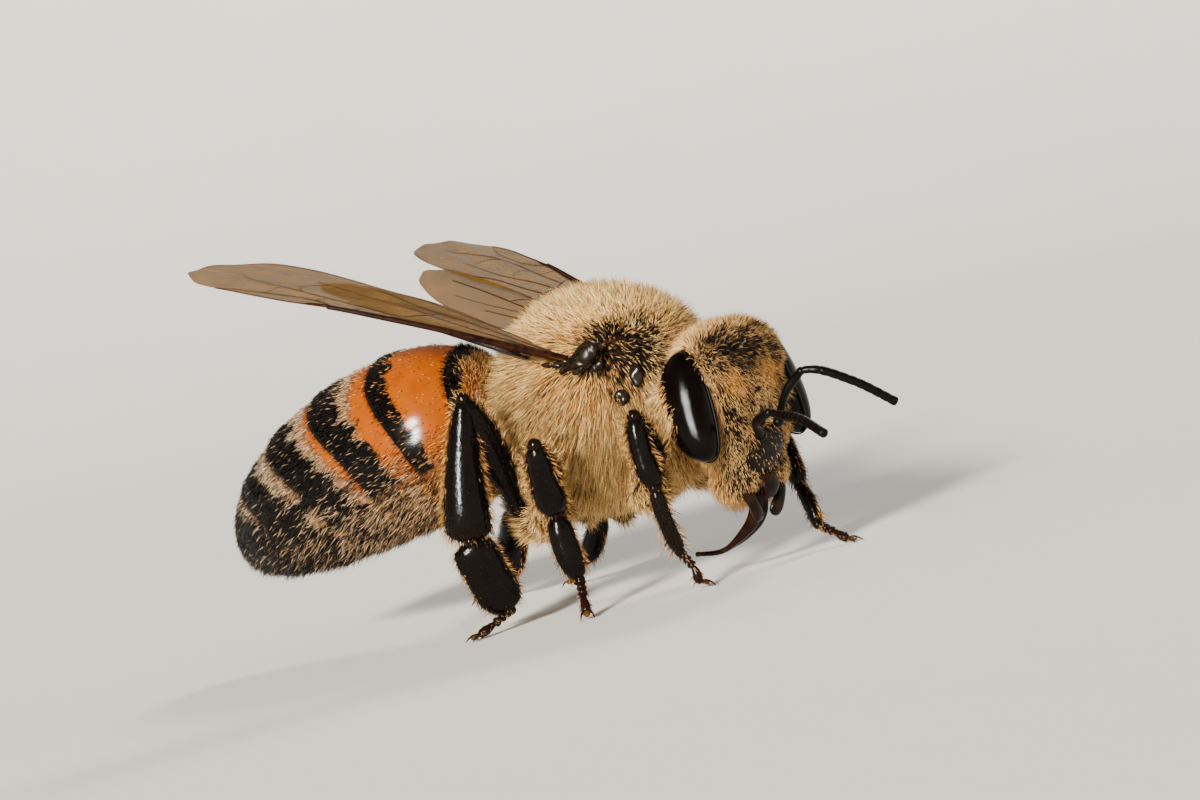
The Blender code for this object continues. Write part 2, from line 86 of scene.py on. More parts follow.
def node_mesh(name):
    """A CAD node's points in the bee's frame, merged, and its faces."""
    shape = bmesh.new()
    shape.from_mesh(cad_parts[name].data)
    bmesh.ops.remove_doubles(shape, verts=shape.verts, dist=1e-7)
    points = np.array([vertex.co for vertex in shape.verts]) / MM - SHIFT
    faces = [[vertex.index for vertex in face.verts] for face in shape.faces]
    shape.free()
    return points, faces


def line_of(name, near):
    """The middle line of a long node, from the end nearer to a point: start, middle, end."""
    points = node_mesh(name)[0]
    centre = points.mean(0)
    axis = np.linalg.svd(points - centre)[2][0]
    for _ in range(3):
        place = (points - centre) @ axis
        share = (place - place.min()) / np.ptp(place)
        start, end = points[share < 0.04].mean(0), points[share > 0.96].mean(0)
        axis = unit(end - start)
    middle = points[(share > 0.35) & (share < 0.75)].mean(0)
    if np.linalg.norm(end - near) < np.linalg.norm(start - near):
        start, end = end, start
    return start, middle, end


def ball_of(name):
    """An ellipsoid node's centre, its three axes as rows, longest first, and half sizes."""
    points = node_mesh(name)[0]
    centre = (points.max(0) + points.min(0)) / 2
    axes = np.linalg.svd(points - centre)[2]
    return centre, axes, np.abs((points - centre) @ axes.T).max(0)


# --- numbers ---


def unit(vector):
    """Vectors of length one."""
    vector = np.asarray(vector, float)
    return vector / np.maximum(np.linalg.norm(vector, axis=-1, keepdims=True), 1e-12)


def limit(value):
    """Values kept from 0 to 1."""
    return np.clip(value, 0.0, 1.0)


def shares(count):
    """Evenly spaced values from 0 to 1."""
    return np.linspace(0.0, 1.0, count)


def step(low, high, value):
    """A smooth rise from 0 at low to 1 at high."""
    share = limit((np.asarray(value, float) - low) / (high - low))
    return share * share * (3.0 - 2.0 * share)


def hill(value, centre, width):
    """A bump of height 1 round a centre."""
    return np.exp(-(((np.asarray(value, float) - centre) / width) ** 2))


def mix(first, second, share):
    share = np.asarray(share, float)
    if np.ndim(first) > share.ndim or np.ndim(second) > share.ndim:
        share = share[..., None]
    return np.asarray(first) * (1.0 - share) + np.asarray(second) * share


def curve(rows, share):
    """Values at shares of a table whose first column rises, on smooth curves."""
    rows = np.asarray(rows, float)
    share = np.atleast_1d(np.asarray(share, float))
    place, values = rows[:, 0], rows[:, 1:]
    slope = np.gradient(values, place, axis=0)
    index = np.clip(np.searchsorted(place, share, side="right") - 1, 0, len(place) - 2)
    span = (place[index + 1] - place[index])[:, None]
    part = limit((share - place[index])[:, None] / span)
    square, cube = part**2, part**3
    return (values[index] * (2 * cube - 3 * square + 1)
            + slope[index] * span * (cube - 2 * square + part)
            + values[index + 1] * (3 * square - 2 * cube)
            + slope[index + 1] * span * (cube - square))


def smooth_path(points, count):
    """Points spaced along a smooth curve through the given ones."""
    points = np.asarray(points, float)
    lengths = np.linalg.norm(np.diff(points, axis=0), axis=1)
    place = np.concatenate(([0.0], np.cumsum(lengths))) / lengths.sum()
    return curve(np.column_stack((place, points)), shares(count))


# --- meshes ---


def grid_faces(rows, columns, closed):
    """Quads over a grid of points, its columns joined round when it is closed."""
    row, column = np.meshgrid(np.arange(rows - 1), np.arange(columns - (not closed)), indexing="ij")
    following = (column + 1) % columns
    faces = np.stack((row * columns + column, row * columns + following,
                      (row + 1) * columns + following, (row + 1) * columns + column), -1)
    return faces.reshape(-1, 4).tolist()


def closed_loft(rings):
    """Points and faces of a skin over rings, each end closed to a point."""
    rings = np.asarray(rings, float)
    rows, columns = rings.shape[:2]
    points = np.concatenate((rings.reshape(-1, 3), rings[:1].mean(1), rings[-1:].mean(1)))
    faces = grid_faces(rows, columns, True)
    first, last, base = rows * columns, rows * columns + 1, (rows - 1) * columns
    for index in range(columns):
        following = (index + 1) % columns
        faces.append((following, index, first))
        faces.append((base + index, base + following, last))
    return points, faces


def limb(path, sizes, outward, sides, power=2.0):
    """A closed limb along a path, from its full width and thickness at the path's points."""
    path, share = np.asarray(path, float), shares(len(path))
    direction = unit(np.gradient(path, axis=0))
    across = unit(np.cross(direction, outward))
    top = np.cross(across, direction)
    angle = (np.arange(sides) + 0.5) / sides * math.tau
    wide, high = (np.sign(part) * np.abs(part) ** (2 / power) for part in (np.cos(angle), np.sin(angle)))
    rings = (path[:, None] + across[:, None] * (wide[:, None] * sizes[:, None, :1] / 2)
             + top[:, None] * (high[:, None] * sizes[:, None, 1:2] / 2))
    points, faces = closed_loft(rings)
    values = {
        "along": np.concatenate((np.repeat(share, sides), (0.0, 1.0))),
        "edge": np.concatenate((np.tile(np.abs(np.cos(angle)), len(path)), (0.0, 0.0))),
        "course": np.concatenate((np.repeat(direction, sides, axis=0), direction[[0, -1]])),
        "angle": np.concatenate((np.tile(angle, len(path)), (0.0, 0.0))),
    }
    return points, faces, values


def add_tube(shape, path, sizes, outward, sides, power=2.0, **values):
    """Add a limb from its full width and thickness, or one size, at its path's points."""
    sizes = np.asarray(sizes, float).reshape(len(path), -1) * (1.0, 1.0)
    shape.add(*limb(path, sizes, outward, sides, power)[:2], **values)
    return shape


def rounded(rows, blunt=0.06):
    """The rows of a limb with its two ends rounded off."""
    rows = np.asarray(rows, float)
    shares = np.concatenate(((0.0, blunt * 0.25, blunt), np.linspace(0.12, 0.88, 14),
                             (1 - blunt, 1 - blunt * 0.25, 1.0)))
    sizes = curve(rows, shares)
    cap = np.minimum(shares, 1.0 - shares) / blunt
    round_off = np.sqrt(limit(1.0 - (1.0 - np.clip(cap, 0.05, 1.0)) ** 2))
    return np.column_stack((shares, sizes * round_off[:, None]))


class Shape:
    """Gathers forms into one mesh, with values kept at its points."""

    def __init__(self):
        self.blocks = []
        self.count = 0
        self.faces = []

    def add(self, points, faces, values=None, **more):
        points = np.asarray(points, float)
        self.faces += [[index + self.count for index in face] for face in faces]
        self.blocks.append((points, {**(values or {}), **more}))
        self.count += len(points)
        return self

    def mesh(self, name, outward=True):
        """The mesh in millimetres; closed forms have their faces turned outwards."""
        mesh = bpy.data.meshes.new(name)
        points = np.concatenate([block for block, _ in self.blocks])
        mesh.from_pydata(points.tolist(), [], self.faces)
        for label in sorted({label for _, values in self.blocks for label in values}):
            wide = max(np.ndim(values.get(label, 0.0)) for _, values in self.blocks) > 1
            layer = np.concatenate([
                np.broadcast_to(np.asarray(values.get(label, 0.0), float),
                                (len(block), 3) if wide else len(block))
                for block, values in self.blocks])
            keep_values(mesh, label, layer)
        if outward:
            shape = bmesh.new()
            shape.from_mesh(mesh)
            bmesh.ops.recalc_face_normals(shape, faces=shape.faces)
            shape.to_mesh(mesh)
            shape.free()
        return mesh


def keep_values(mesh, label, values):
    """Store one number or one vector for each point.

    Hair reads grow, how densely it stands, reach, its length, lie and fall, its way and
    bend, warm and dark, its colour, and chart, its place on the map. Shells read dark,
    warm, shade, pale and red for their colours.
    """
    values = np.asarray(values, np.float32)
    kind = "FLOAT_VECTOR" if values.ndim > 1 else "FLOAT"
    layer = mesh.attributes.get(label) or mesh.attributes.new(label, kind, "POINT")
    layer.data.foreach_set("vector" if values.ndim > 1 else "value", values.ravel())


def read_values(mesh, label):
    layer = mesh.attributes.get(label)
    if layer is None:
        raise ValueError(f"{mesh.name} has no values named {label}")
    wide = layer.data_type == "FLOAT_VECTOR"
    values = np.empty(len(mesh.vertices) * (3 if wide else 1), np.float32)
    layer.data.foreach_get("vector" if wide else "value", values)
    return values.reshape(-1, 3) if wide else values


def points_of(mesh, kind="co"):
    values = np.empty(len(mesh.vertices) * 3, np.float32)
    mesh.vertices.foreach_get(kind, values)
    return values.reshape(-1, 3).astype(float)


def normals_of(mesh):
    return points_of(mesh, "normal")


def set_points(mesh, points):
    mesh.vertices.foreach_set("co", np.asarray(points, np.float32).ravel())
    mesh.update()


def add_object(name, data):
    thing = bpy.data.objects.new(name, data)
    bpy.context.scene.collection.objects.link(thing)
    return thing


def evaluated(mesh, *modifiers):
    """The mesh after modifiers, each a kind and its settings or a node tree's inputs."""
    holder = add_object("holder", mesh)
    for kind, settings in modifiers:
        modifier = holder.modifiers.new(kind, kind)
        for label, value in settings.items():
            if kind == "NODES" and label != "node_group":
                modifier[socket_of(settings["node_group"], label)] = value
            else:
                setattr(modifier, label, value)
    bpy.context.view_layer.update()
    ready = holder.evaluated_get(bpy.context.evaluated_depsgraph_get())
    result = bpy.data.meshes.new_from_object(ready)
    bpy.data.objects.remove(holder, do_unlink=True)
    return result


def socket_of(tree, label):
    for item in tree.interface.items_tree:
        if item.item_type == "SOCKET" and item.in_out == "INPUT" and item.name == label:
            return item.identifier
    raise ValueError(f"{tree.name} has no input named {label}")


def set_out(name, mesh, material):
    """Put a mesh made in the bee's frame into the scene, its place in its points."""
    if not len(mesh.polygons):
        raise ValueError(f"{name} has no faces")
    mesh.transform(Matrix.Translation(SHIFT * MM) @ Matrix.Scale(MM, 4))
    mesh.name = name
    mesh.materials.clear()
    mesh.materials.append(material)
    mesh.shade_smooth()
    return add_object(name, mesh)


def finish_piece(bee, name, mesh, look, slot, *replaced):
    """Make a mesh one finished piece; look names its material."""
    piece = set_out(name, mesh, materials(bee)[look])
    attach(piece, "root")
    if replaced:
        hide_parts(*replaced)
    return piece


# --- node trees ---


class Nodes:
    """Adds nodes to a tree and links them in one call."""

    def __init__(self, tree):
        self.tree = tree

    def add(self, kind, inputs=None, **settings):
        node = self.tree.nodes.new(kind)
        for label, value in settings.items():
            setattr(node, label, value)
        for key, value in (inputs or {}).items():
            socket = node.inputs[key]
            if hasattr(value, "links"):
                self.tree.links.new(value, socket)
            else:
                socket.default_value = (*value, 1.0) if socket.type == "RGBA" else value
        return node

    def math(self, operation, *values):
        return self.add("ShaderNodeMath", dict(enumerate(values)), operation=operation).outputs[0]

    def vector(self, operation, *values):
        values = dict(enumerate(values))
        return self.add("ShaderNodeVectorMath", values, operation=operation).outputs[0]

    def scaled(self, vector, factor):
        values = {0: vector, "Scale": factor}
        return self.add("ShaderNodeVectorMath", values, operation="SCALE").outputs[0]

    def blend(self, factor, first, second, blend_type="MIX"):
        return self.add("ShaderNodeMix", {0: factor, 6: first, 7: second}, data_type="RGBA",
                        blend_type=blend_type).outputs[2]

    def named(self, label, kind="FLOAT"):
        """Values kept at the mesh's points, for a geometry tree."""
        node = self.add("GeometryNodeInputNamedAttribute", {"Name": label}, data_type=kind)
        return node.outputs["Attribute"]

    def ramp(self, value, *stops):
        node = self.add("ShaderNodeValToRGB", {0: value})
        ramp = node.color_ramp
        while len(ramp.elements) < len(stops):
            ramp.elements.new(0.5)
        for element, (place, colour) in zip(ramp.elements, stops):
            element.position, element.color = place, (*colour, 1.0)
        return node.outputs[0]


def start_tree(name, *rows):
    """A tree with named inputs: its node helper and what is given to it."""
    tree = bpy.data.node_groups.new(name, "GeometryNodeTree")
    for label, kind, value in (*rows, ("Material", "Material", None)):
        socket = tree.interface.new_socket(label, in_out="INPUT", socket_type=f"NodeSocket{kind}")
        if value is not None:
            socket.default_value = value
    tree.interface.new_socket("Result", in_out="OUTPUT", socket_type="NodeSocketGeometry")
    return Nodes(tree), tree.nodes.new("NodeGroupInput").outputs


def finish_tree(n, given, geometry):
    """End a tree in plain geometry with its material."""
    real = n.add("GeometryNodeRealizeInstances", {"Geometry": geometry})
    done = n.add("GeometryNodeSetMaterial", {"Geometry": real.outputs[0], "Material": given["Material"]})
    n.add("NodeGroupOutput", {0: done.outputs[0]})
    return n.tree


def hair_tree():
    """Hairs over a surface: they start along lie, bend along fall and keep its values."""
    n, given = start_tree(
        "coat_of_hairs", ("Surface", "Geometry", None), ("Density", "Float", 400.0),
        ("Length", "Float", 1.0), ("Thickness", "Float", 0.02), ("Wildness", "Float", 0.2),
        ("Tuft size", "Float", 0.35), ("Tuft pull", "Float", 0.5), ("Seed", "Int", 1))

    def chance(kind, low, high, offset):
        seed = n.math("ADD", given["Seed"], offset)
        keys = {"FLOAT_VECTOR": ("Min", "Max", 0), "FLOAT": ("Min_001", "Max_001", 1)}[kind]
        node = n.add("FunctionNodeRandomValue", data_type=kind)
        for key, value in ((keys[0], low), (keys[1], high)):
            next(s for s in node.inputs if s.identifier == key).default_value = value
        n.tree.links.new(seed, node.inputs["Seed"])
        return node.outputs[keys[2]]

    def kept(geometry, label, kind, value):
        node = n.add("GeometryNodeStoreNamedAttribute",
                     {"Geometry": geometry, "Name": label, "Value": value},
                     data_type=kind, domain="POINT")
        return node.outputs[0]

    density = n.math("MULTIPLY", given["Density"], n.named("grow"))
    points = n.add("GeometryNodeDistributePointsOnFaces",
                   {"Mesh": given["Surface"], "Density": density, "Seed": given["Seed"]})
    place = n.add("GeometryNodeInputPosition").outputs[0]
    tuft = n.add("ShaderNodeTexNoise",
                 {"Vector": place, "Scale": n.math("DIVIDE", 1.0, given["Tuft size"]), "Detail": 1.0})
    pull = n.scaled(n.vector("SUBTRACT", tuft.outputs["Color"], (0.5, 0.5, 0.5)),
                    n.math("MULTIPLY", given["Tuft pull"], 4.0))
    wild = n.scaled(chance("FLOAT_VECTOR", (-1.0,) * 3, (1.0,) * 3, 11), given["Wildness"])
    way = n.vector("NORMALIZE", n.vector("ADD", n.named("lie", "FLOAT_VECTOR"),
                                         n.vector("ADD", pull, wild)))
    reach = n.math("MULTIPLY", n.math("MULTIPLY", n.named("reach"), given["Length"]),
                   chance("FLOAT", 0.62, 1.12, 12))
    bend = n.scaled(n.vector("ADD", n.named("fall", "FLOAT_VECTOR"), n.scaled(wild, 0.8)), reach)
    rooted = kept(points.outputs["Points"], "root", "FLOAT_VECTOR", place)
    rooted = kept(rooted, "bend", "FLOAT_VECTOR", bend)
    rooted = kept(rooted, "tone", "FLOAT", chance("FLOAT", 0.0, 1.0, 13))
    cone = n.add("GeometryNodeMeshCone",
                 {"Vertices": 3, "Side Segments": 2, "Radius Top": 0.0,
                  "Radius Bottom": 0.5, "Depth": 1.0})
    height = n.add("ShaderNodeSeparateXYZ", {0: place}).outputs[2]
    girth = n.math("ADD", 1.0, height)
    fuller = n.add("ShaderNodeCombineXYZ", {0: girth, 1: girth, 2: 1.0})
    shaped = n.add("GeometryNodeSetPosition", {
        "Geometry": cone.outputs["Mesh"],
        "Position": n.vector("MULTIPLY", place, fuller.outputs[0])})
    shaped = kept(shaped.outputs[0], "rise", "FLOAT", height)
    spin = n.add("FunctionNodeAlignRotationToVector", {"Vector": way}, axis="Z")
    size = n.add("ShaderNodeCombineXYZ", {0: given["Thickness"], 1: given["Thickness"], 2: reach})
    hairs = n.add("GeometryNodeInstanceOnPoints",
                  {"Points": rooted, "Instance": shaped, "Rotation": spin.outputs[0],
                   "Scale": size.outputs[0]})
    real = n.add("GeometryNodeRealizeInstances", {"Geometry": hairs.outputs[0]})
    rise = n.named("rise")
    bent = n.add("GeometryNodeSetPosition", {
        "Geometry": real.outputs[0],
        "Offset": n.scaled(n.named("bend", "FLOAT_VECTOR"), n.math("MULTIPLY", rise, rise))})
    return finish_tree(n, given, bent.outputs[0])


FACET_TOP = 0.6  # how wide a facet's top is against its foot


def facet_tree():
    """An ellipsoid covered with small six-sided domes."""
    n, given = start_tree(
        "eye_facets", ("Surface", "Geometry", None), ("Fineness", "Int", 6),
        ("Half size", "Vector", (1.0, 1.0, 1.0)), ("Dome", "Float", 0.001))
    ball = n.add("GeometryNodeMeshIcoSphere", {"Radius": 1.0, "Subdivisions": given["Fineness"]})
    cells = n.add("GeometryNodeDualMesh", {"Mesh": ball.outputs[0]})
    place = n.add("GeometryNodeInputPosition").outputs[0]
    sized = n.add("GeometryNodeSetPosition", {
        "Geometry": cells.outputs[0],
        "Position": n.vector("MULTIPLY", place, given["Half size"])})
    raised = n.add("GeometryNodeExtrudeMesh", {
        "Mesh": sized.outputs[0], "Offset Scale": given["Dome"], "Individual": True},
        mode="FACES")
    domed = n.add("GeometryNodeScaleElements", {
        "Geometry": raised.outputs["Mesh"], "Selection": raised.outputs["Top"],
        "Scale": FACET_TOP}, domain="FACE")
    return finish_tree(n, given, domed.outputs[0])


def vein_tree():
    """Round veins along the edges of a mesh, as thick as its values say."""
    n, given = start_tree("wing_veins", ("Lines", "Geometry", None), ("Sides", "Int", 6),
                          ("Thickness", "Float", 1.0))
    lines = n.add("GeometryNodeMeshToCurve", {"Mesh": given["Lines"]})
    ring = n.add("GeometryNodeCurvePrimitiveCircle", {"Resolution": given["Sides"], "Radius": 1.0})
    tubes = n.add("GeometryNodeCurveToMesh", {
        "Curve": lines.outputs[0], "Profile Curve": ring.outputs[0],
        "Scale": n.math("MULTIPLY", n.named("width"), given["Thickness"]),
        "Fill Caps": True})
    return finish_tree(n, given, tubes.outputs[0])


# --- materials ---


def new_material(name, roughness, gloss, alpha=1.0):
    """A material with one Principled shader; gives it, its nodes and the shader."""
    material = bpy.data.materials.new(name)
    material.use_nodes = True
    shader = material.node_tree.nodes["Principled BSDF"]
    shader.inputs["Roughness"].default_value = roughness
    shader.inputs["Specular IOR Level"].default_value = gloss
    shader.inputs["Alpha"].default_value = alpha
    return material, Nodes(material.node_tree), shader


def grain(n, scale, detail=3.0):
    """A cloudy pattern fixed to the object; scale is in clouds for each metre."""
    place = n.add("ShaderNodeTexCoord").outputs["Object"]
    return n.add("ShaderNodeTexNoise", {"Vector": place, "Scale": scale, "Detail": detail}).outputs["Fac"]


def cells(n, scale):
    """A pattern of small cells fixed to the object, such as pits or scales."""
    place = n.add("ShaderNodeTexCoord").outputs["Object"]
    return n.add("ShaderNodeTexVoronoi", {"Vector": place, "Scale": scale}).outputs["Distance"]


def stored(n, label, output="Fac"):
    """A value or colour kept at the mesh's points."""
    return n.add("ShaderNodeAttribute", attribute_name=label).outputs[output]


def relief(n, shader, height, strength, distance):
    bump = n.add("ShaderNodeBump", {"Strength": strength, "Distance": distance, "Height": height})
    n.tree.links.new(bump.outputs[0], shader.inputs["Normal"])


def colour_in(n, shader, colour):
    n.tree.links.new(colour, shader.inputs["Base Color"])


def shell_material(name, dark, light, roughness, gloss, scale):
    """Horny shell: mottled between two colours, with fine pits."""
    material, n, shader = new_material(name, roughness, gloss)
    colour_in(n, shader, n.ramp(grain(n, scale), (0.3, dark), (0.72, light)))
    relief(n, shader, cells(n, scale * 5.0), 0.35, 4e-6)
    return material


def tergite_material(colours):
    """Amber plate with near black bands: dark and warm are kept at the plate's points."""
    material, n, shader = new_material("tergite_shell", 0.16, 0.15)
    ragged = n.math("MULTIPLY", n.math("SUBTRACT", grain(n, 14000.0, 2.0), 0.5), 0.5)
    band = n.ramp(n.math("ADD", stored(n, "dark"), ragged), (0.36, (0, 0, 0)), (0.6, (1, 1, 1)))
    mottle = n.blend(grain(n, 2600.0, 4.0), colours.amber_deep, colours.amber)
    amber = n.blend(stored(n, "warm"), colours.tan_shell, mottle)
    colour_in(n, shader, n.blend(band, amber, colours.black_shell))
    relief(n, shader, cells(n, 42000.0), 0.2, 1e-6)
    return material


def skin_material(colours):
    """Dark skin under the hair, paler where the coat is pale."""
    material, n, shader = new_material("body_skin", 0.25, 0.12)
    mottle = n.blend(grain(n, 7000.0), colours.skin_dark, colours.skin_pale)
    colour_in(n, shader, n.blend(stored(n, "shade"), mottle, colours.black_shell))
    relief(n, shader, cells(n, 32000.0), 0.5, 6e-6)
    return material


def coat_material():
    """Hairs take the colour kept at their points, slightly streaked."""
    material, n, shader = new_material("coat_hair", 0.35, 0.13)
    streak = n.ramp(grain(n, 30000.0, 2.0), (0.25, (0.72,) * 3), (0.75, (1.12,) * 3))
    colour_in(n, shader, n.blend(1.0, stored(n, "coat_colour", "Color"), streak, "MULTIPLY"))
    return material


def leg_material(colours):
    """Glossy black shell, tan at the joints and red brown at the foot."""
    material, n, shader = new_material("leg_shell", 0.15, 0.1)
    mottle = n.blend(grain(n, 9000.0), colours.black_shell, colours.leg_light)
    reddish = n.blend(stored(n, "red"), mottle, colours.red_shell)
    tan = tuple(0.2 * (a + b) for a, b in zip(colours.red_shell, colours.hair_gold))
    colour_in(n, shader, n.blend(stored(n, "pale"), reddish, tan))
    crinkle = n.math("ADD", grain(n, 9000.0, 4.0), n.math("MULTIPLY", cells(n, 30000.0), 0.1))
    relief(n, shader, crinkle, 0.7, 1.2e-5)
    return material


def eye_material(colours):
    material, n, shader = new_material("eye_lens", 0.13, 0.1)
    mottle = n.ramp(grain(n, 1800.0), (0.35, colours.eye_dark), (0.75, colours.eye_brown))
    colour_in(n, shader, mottle)
    relief(n, shader, cells(n, 40000.0), 0.1, 1.5e-6)
    return material


def film_material(colours):
    """Clear amber film, speckled with tiny hairs."""
    material, n, shader = new_material("wing_film", 0.35, 0.02, alpha=0.72)
    deep = tuple(0.45 * value for value in colours.film)
    speck = n.ramp(cells(n, 26000.0), (0.08, deep), (0.3, colours.film))
    cloud = n.ramp(grain(n, 1500.0), (0.3, (0.75,) * 3), (0.7, (1.2,) * 3))
    colour_in(n, shader, n.blend(1.0, speck, cloud, "MULTIPLY"))
    relief(n, shader, grain(n, 6500.0, 6.0), 0.9, 1.6e-5)
    return material


def floor_material(colours):
    material, n, shader = new_material("studio_floor", 0.7, 0.0)
    bright = tuple(value * 1.03 for value in colours.floor)
    colour_in(n, shader, n.ramp(grain(n, 40.0), (0.3, colours.floor), (0.7, bright)))
    relief(n, shader, grain(n, 3000.0), 0.1, 1e-5)
    return material


# --- sizes and colours ---


def length(label, about, value):
    """A size property in metres, from a default in millimetres."""
    return FloatProperty(name=label, description=about, default=value * MM, min=0.0,
                         precision=6, unit="LENGTH")


def factor(label, about, value, high=4.0):
    return FloatProperty(name=label, description=about, default=value, min=0.0, max=high, subtype="FACTOR")


def colour(label, about, value):
    return FloatVectorProperty(name=label, description=about, default=value, min=0.0,
                               max=1.0, subtype="COLOR")


def number(label, about, value):
    return IntProperty(name=label, description=about, default=value, min=1, subtype="UNSIGNED")


def bearing(label, about, degrees):
    """An angle property, from a default in degrees."""
    return FloatProperty(name=label, description=about, default=math.radians(degrees), subtype="ANGLE")


class BodySizes(bpy.types.PropertyGroup):
    """Sizes of skin, shell plates and eyes."""

    thorax_depth: length("Thorax coat", "How deep the skin lies under the thorax's outline", 0.42)
    head_depth: length("Head coat", "How deep the skin lies under the head's outline", 0.16)
    skin_cell: length("Skin fineness", "Cell size of the skin's mesh", 0.065)
    plate_depth: length("Plate depth", "How deep the plates lie under the abdomen's outline", 0.1)
    plate_thickness: length("Plate thickness", "Thickness of one abdomen plate", 0.05)
    eye_inset: length("Eye inset", "How far the eye lies inside its solid", 0.01)
    facet_rows: number("Eye fineness", "How often the eye's cells are divided", 6)
    facet_dome: length("Facet height", "How high each facet of the eye stands", 0.0012)


class CoatSizes(bpy.types.PropertyGroup):
    """Hairs of the coat."""

    thorax_hairs: number("Thorax hairs", "Hairs on each quarter of the thorax", 14000)
    head_hairs: number("Head hairs", "Hairs on each half of the head", 17500)
    abdomen_hairs: number("Abdomen hairs", "Hairs on each half of the abdomen", 19000)
    leg_hairs: number("Leg hairs", "Hairs on the three legs of one side", 8000)
    thorax_thickness: length("Thorax hair thickness", "Thickness of a thorax hair", 0.022)
    head_thickness: length("Head hair thickness", "Thickness of a head hair", 0.0135)
    abdomen_thickness: length("Abdomen hair thickness", "Thickness of an abdomen hair", 0.015)
    leg_thickness: length("Leg hair thickness", "Thickness of a leg hair", 0.016)
    fluff: factor("Fluff", "How far hairs stray from the lie of the coat", 0.2, 1.0)
    tuft_size: length("Tuft size", "Size of the tufts that hairs gather into", 0.3)
    tuft_pull: factor("Tuft pull", "How strongly hairs gather into tufts", 0.3, 2.0)


class WingSizes(bpy.types.PropertyGroup):
    """Sizes of the wings."""

    forewing_chord: length("Forewing chord", "Widest part of a forewing", 2.9)
    hindwing_chord: length("Hindwing chord", "Widest part of a hindwing", 1.8)
    film: length("Film", "Thickness of the wing film", 0.012)
    vein: factor("Vein thickness", "Thickness of the veins as a share of their usual one", 1.9)
    camber: length("Camber", "How far the film bulges from flat", 0.2)


class LimbSizes(bpy.types.PropertyGroup):
    """Sizes of legs, feelers and mouthparts."""

    leg_girth: factor("Leg girth", "Girth of the leg segments inside their solids", 0.9)
    foot_girth: length("Foot girth", "Thickness of the small foot segments", 0.23)
    feeler_girth: length("Feeler girth", "Thickness of a feeler", 0.205)
    claw: length("Claw length", "Length of a claw", 0.3)


class Colours(bpy.types.PropertyGroup):
    """Colours of hair, shell, film and stage."""

    hair_pale: colour("Pale hair", "Pale hair of the thorax", (0.98, 0.56, 0.22))
    hair_face: colour("Face hair", "Pale hair of the head", (0.9, 0.5, 0.2))
    hair_band: colour("Band hair", "Pale hair of the abdomen's bands", (0.68, 0.51, 0.33))
    hair_gold: colour("Golden hair", "Golden hair of the flanks", (0.8, 0.34, 0.06))
    hair_dark: colour("Dark hair", "Dark hair of the bands and patches", (0.01, 0.006, 0.004))
    hair_leg: colour("Leg hair", "Hair of the legs", (0.62, 0.27, 0.05))
    skin_dark: colour("Dark skin", "Darker tone of the skin", (0.02, 0.01, 0.004))
    skin_pale: colour("Pale skin", "Paler tone of the skin", (0.08, 0.038, 0.014))
    amber: colour("Amber shell", "Lighter tone of the orange plates", (0.41, 0.09, 0.0005))
    amber_deep: colour("Deep amber shell", "Deeper tone of the orange plates", (0.22, 0.038, 0.0003))
    tan_shell: colour("Tan shell", "Tone of the rear plates", (0.2, 0.11, 0.05))
    black_shell: colour("Black shell", "Near black of bands and legs", (0.002, 0.0014, 0.001))
    leg_light: colour("Leg shell", "Lighter tone of the leg shell", (0.004, 0.0026, 0.0018))
    red_shell: colour("Red brown shell", "Mouthparts and foot ends", (0.02, 0.006, 0.002))
    eye_dark: colour("Eye", "Dark tone of the eye", (0.001, 0.0006, 0.0005))
    eye_brown: colour("Eye brown", "Brown tone of the eye", (0.003, 0.0012, 0.0008))
    film: colour("Wing film", "Amber of the wing film", (0.165, 0.078, 0.009))
    vein: colour("Wing vein", "Brown of the wing veins", (0.035, 0.01, 0.004))
    floor: colour("Floor", "Pale floor", (0.8, 0.78, 0.74))


class StudioSizes(bpy.types.PropertyGroup):
    """Camera and lights."""

    azimuth: bearing("Azimuth", "Side that the camera looks from", 25.41)
    elevation: bearing("Elevation", "How far the camera looks down", 2.7)
    roll: bearing("Roll", "How far the camera leans", 13.69)
    distance: length("Distance", "Distance from the camera to the bee", 73.26)
    lens: FloatProperty(name="Lens", description="Focal length in millimetres",
                        default=100.0, unit="CAMERA")
    key_strength: factor("Key light", "Strength of the key light", 8.6, 20.0)
    fill_strength: factor("Fill light", "Strength of the fill light", 0.18, 20.0)
    rim_strength: factor("Rim light", "Strength of the rim light", 1.8, 20.0)
    strip_power: FloatProperty(name="Strip light", description="Power of the strip light",
                               default=0.11, min=0.0, precision=4, unit="POWER")
    sky: factor("Sky", "Strength of the pale sky", 0.25)


class HoneyBee(bpy.types.PropertyGroup):
    """All sizes and colours of the bee."""

    body: PointerProperty(type=BodySizes)
    coat: PointerProperty(type=CoatSizes)
    wings: PointerProperty(type=WingSizes)
    limbs: PointerProperty(type=LimbSizes)
    colours: PointerProperty(type=Colours)
    studio: PointerProperty(type=StudioSizes)


# Plain shells: material, dark and light tone, roughness, gloss and clouds for each metre.
SHELLS = {
    "feeler": ("feeler_shell", "black_shell", "leg_light", 0.3, 0.08, 15000.0),
    "mouth": ("mouth_shell", "black_shell", "red_shell", 0.2, 0.1, 4000.0),
    "sclerite": ("wing_base_shell", "black_shell", "skin_dark", 0.26, 0.15, 9000.0),
    "lobe": ("pronotum_shell", "black_shell", "skin_dark", 0.24, 0.3, 7000.0),
    "vein": ("wing_vein", "black_shell", "vein", 0.3, 0.05, 8000.0),
    "waist": ("waist_shell", "skin_dark", "amber_deep", 0.35, 0.5, 9000.0),
}
MATERIALS = {}


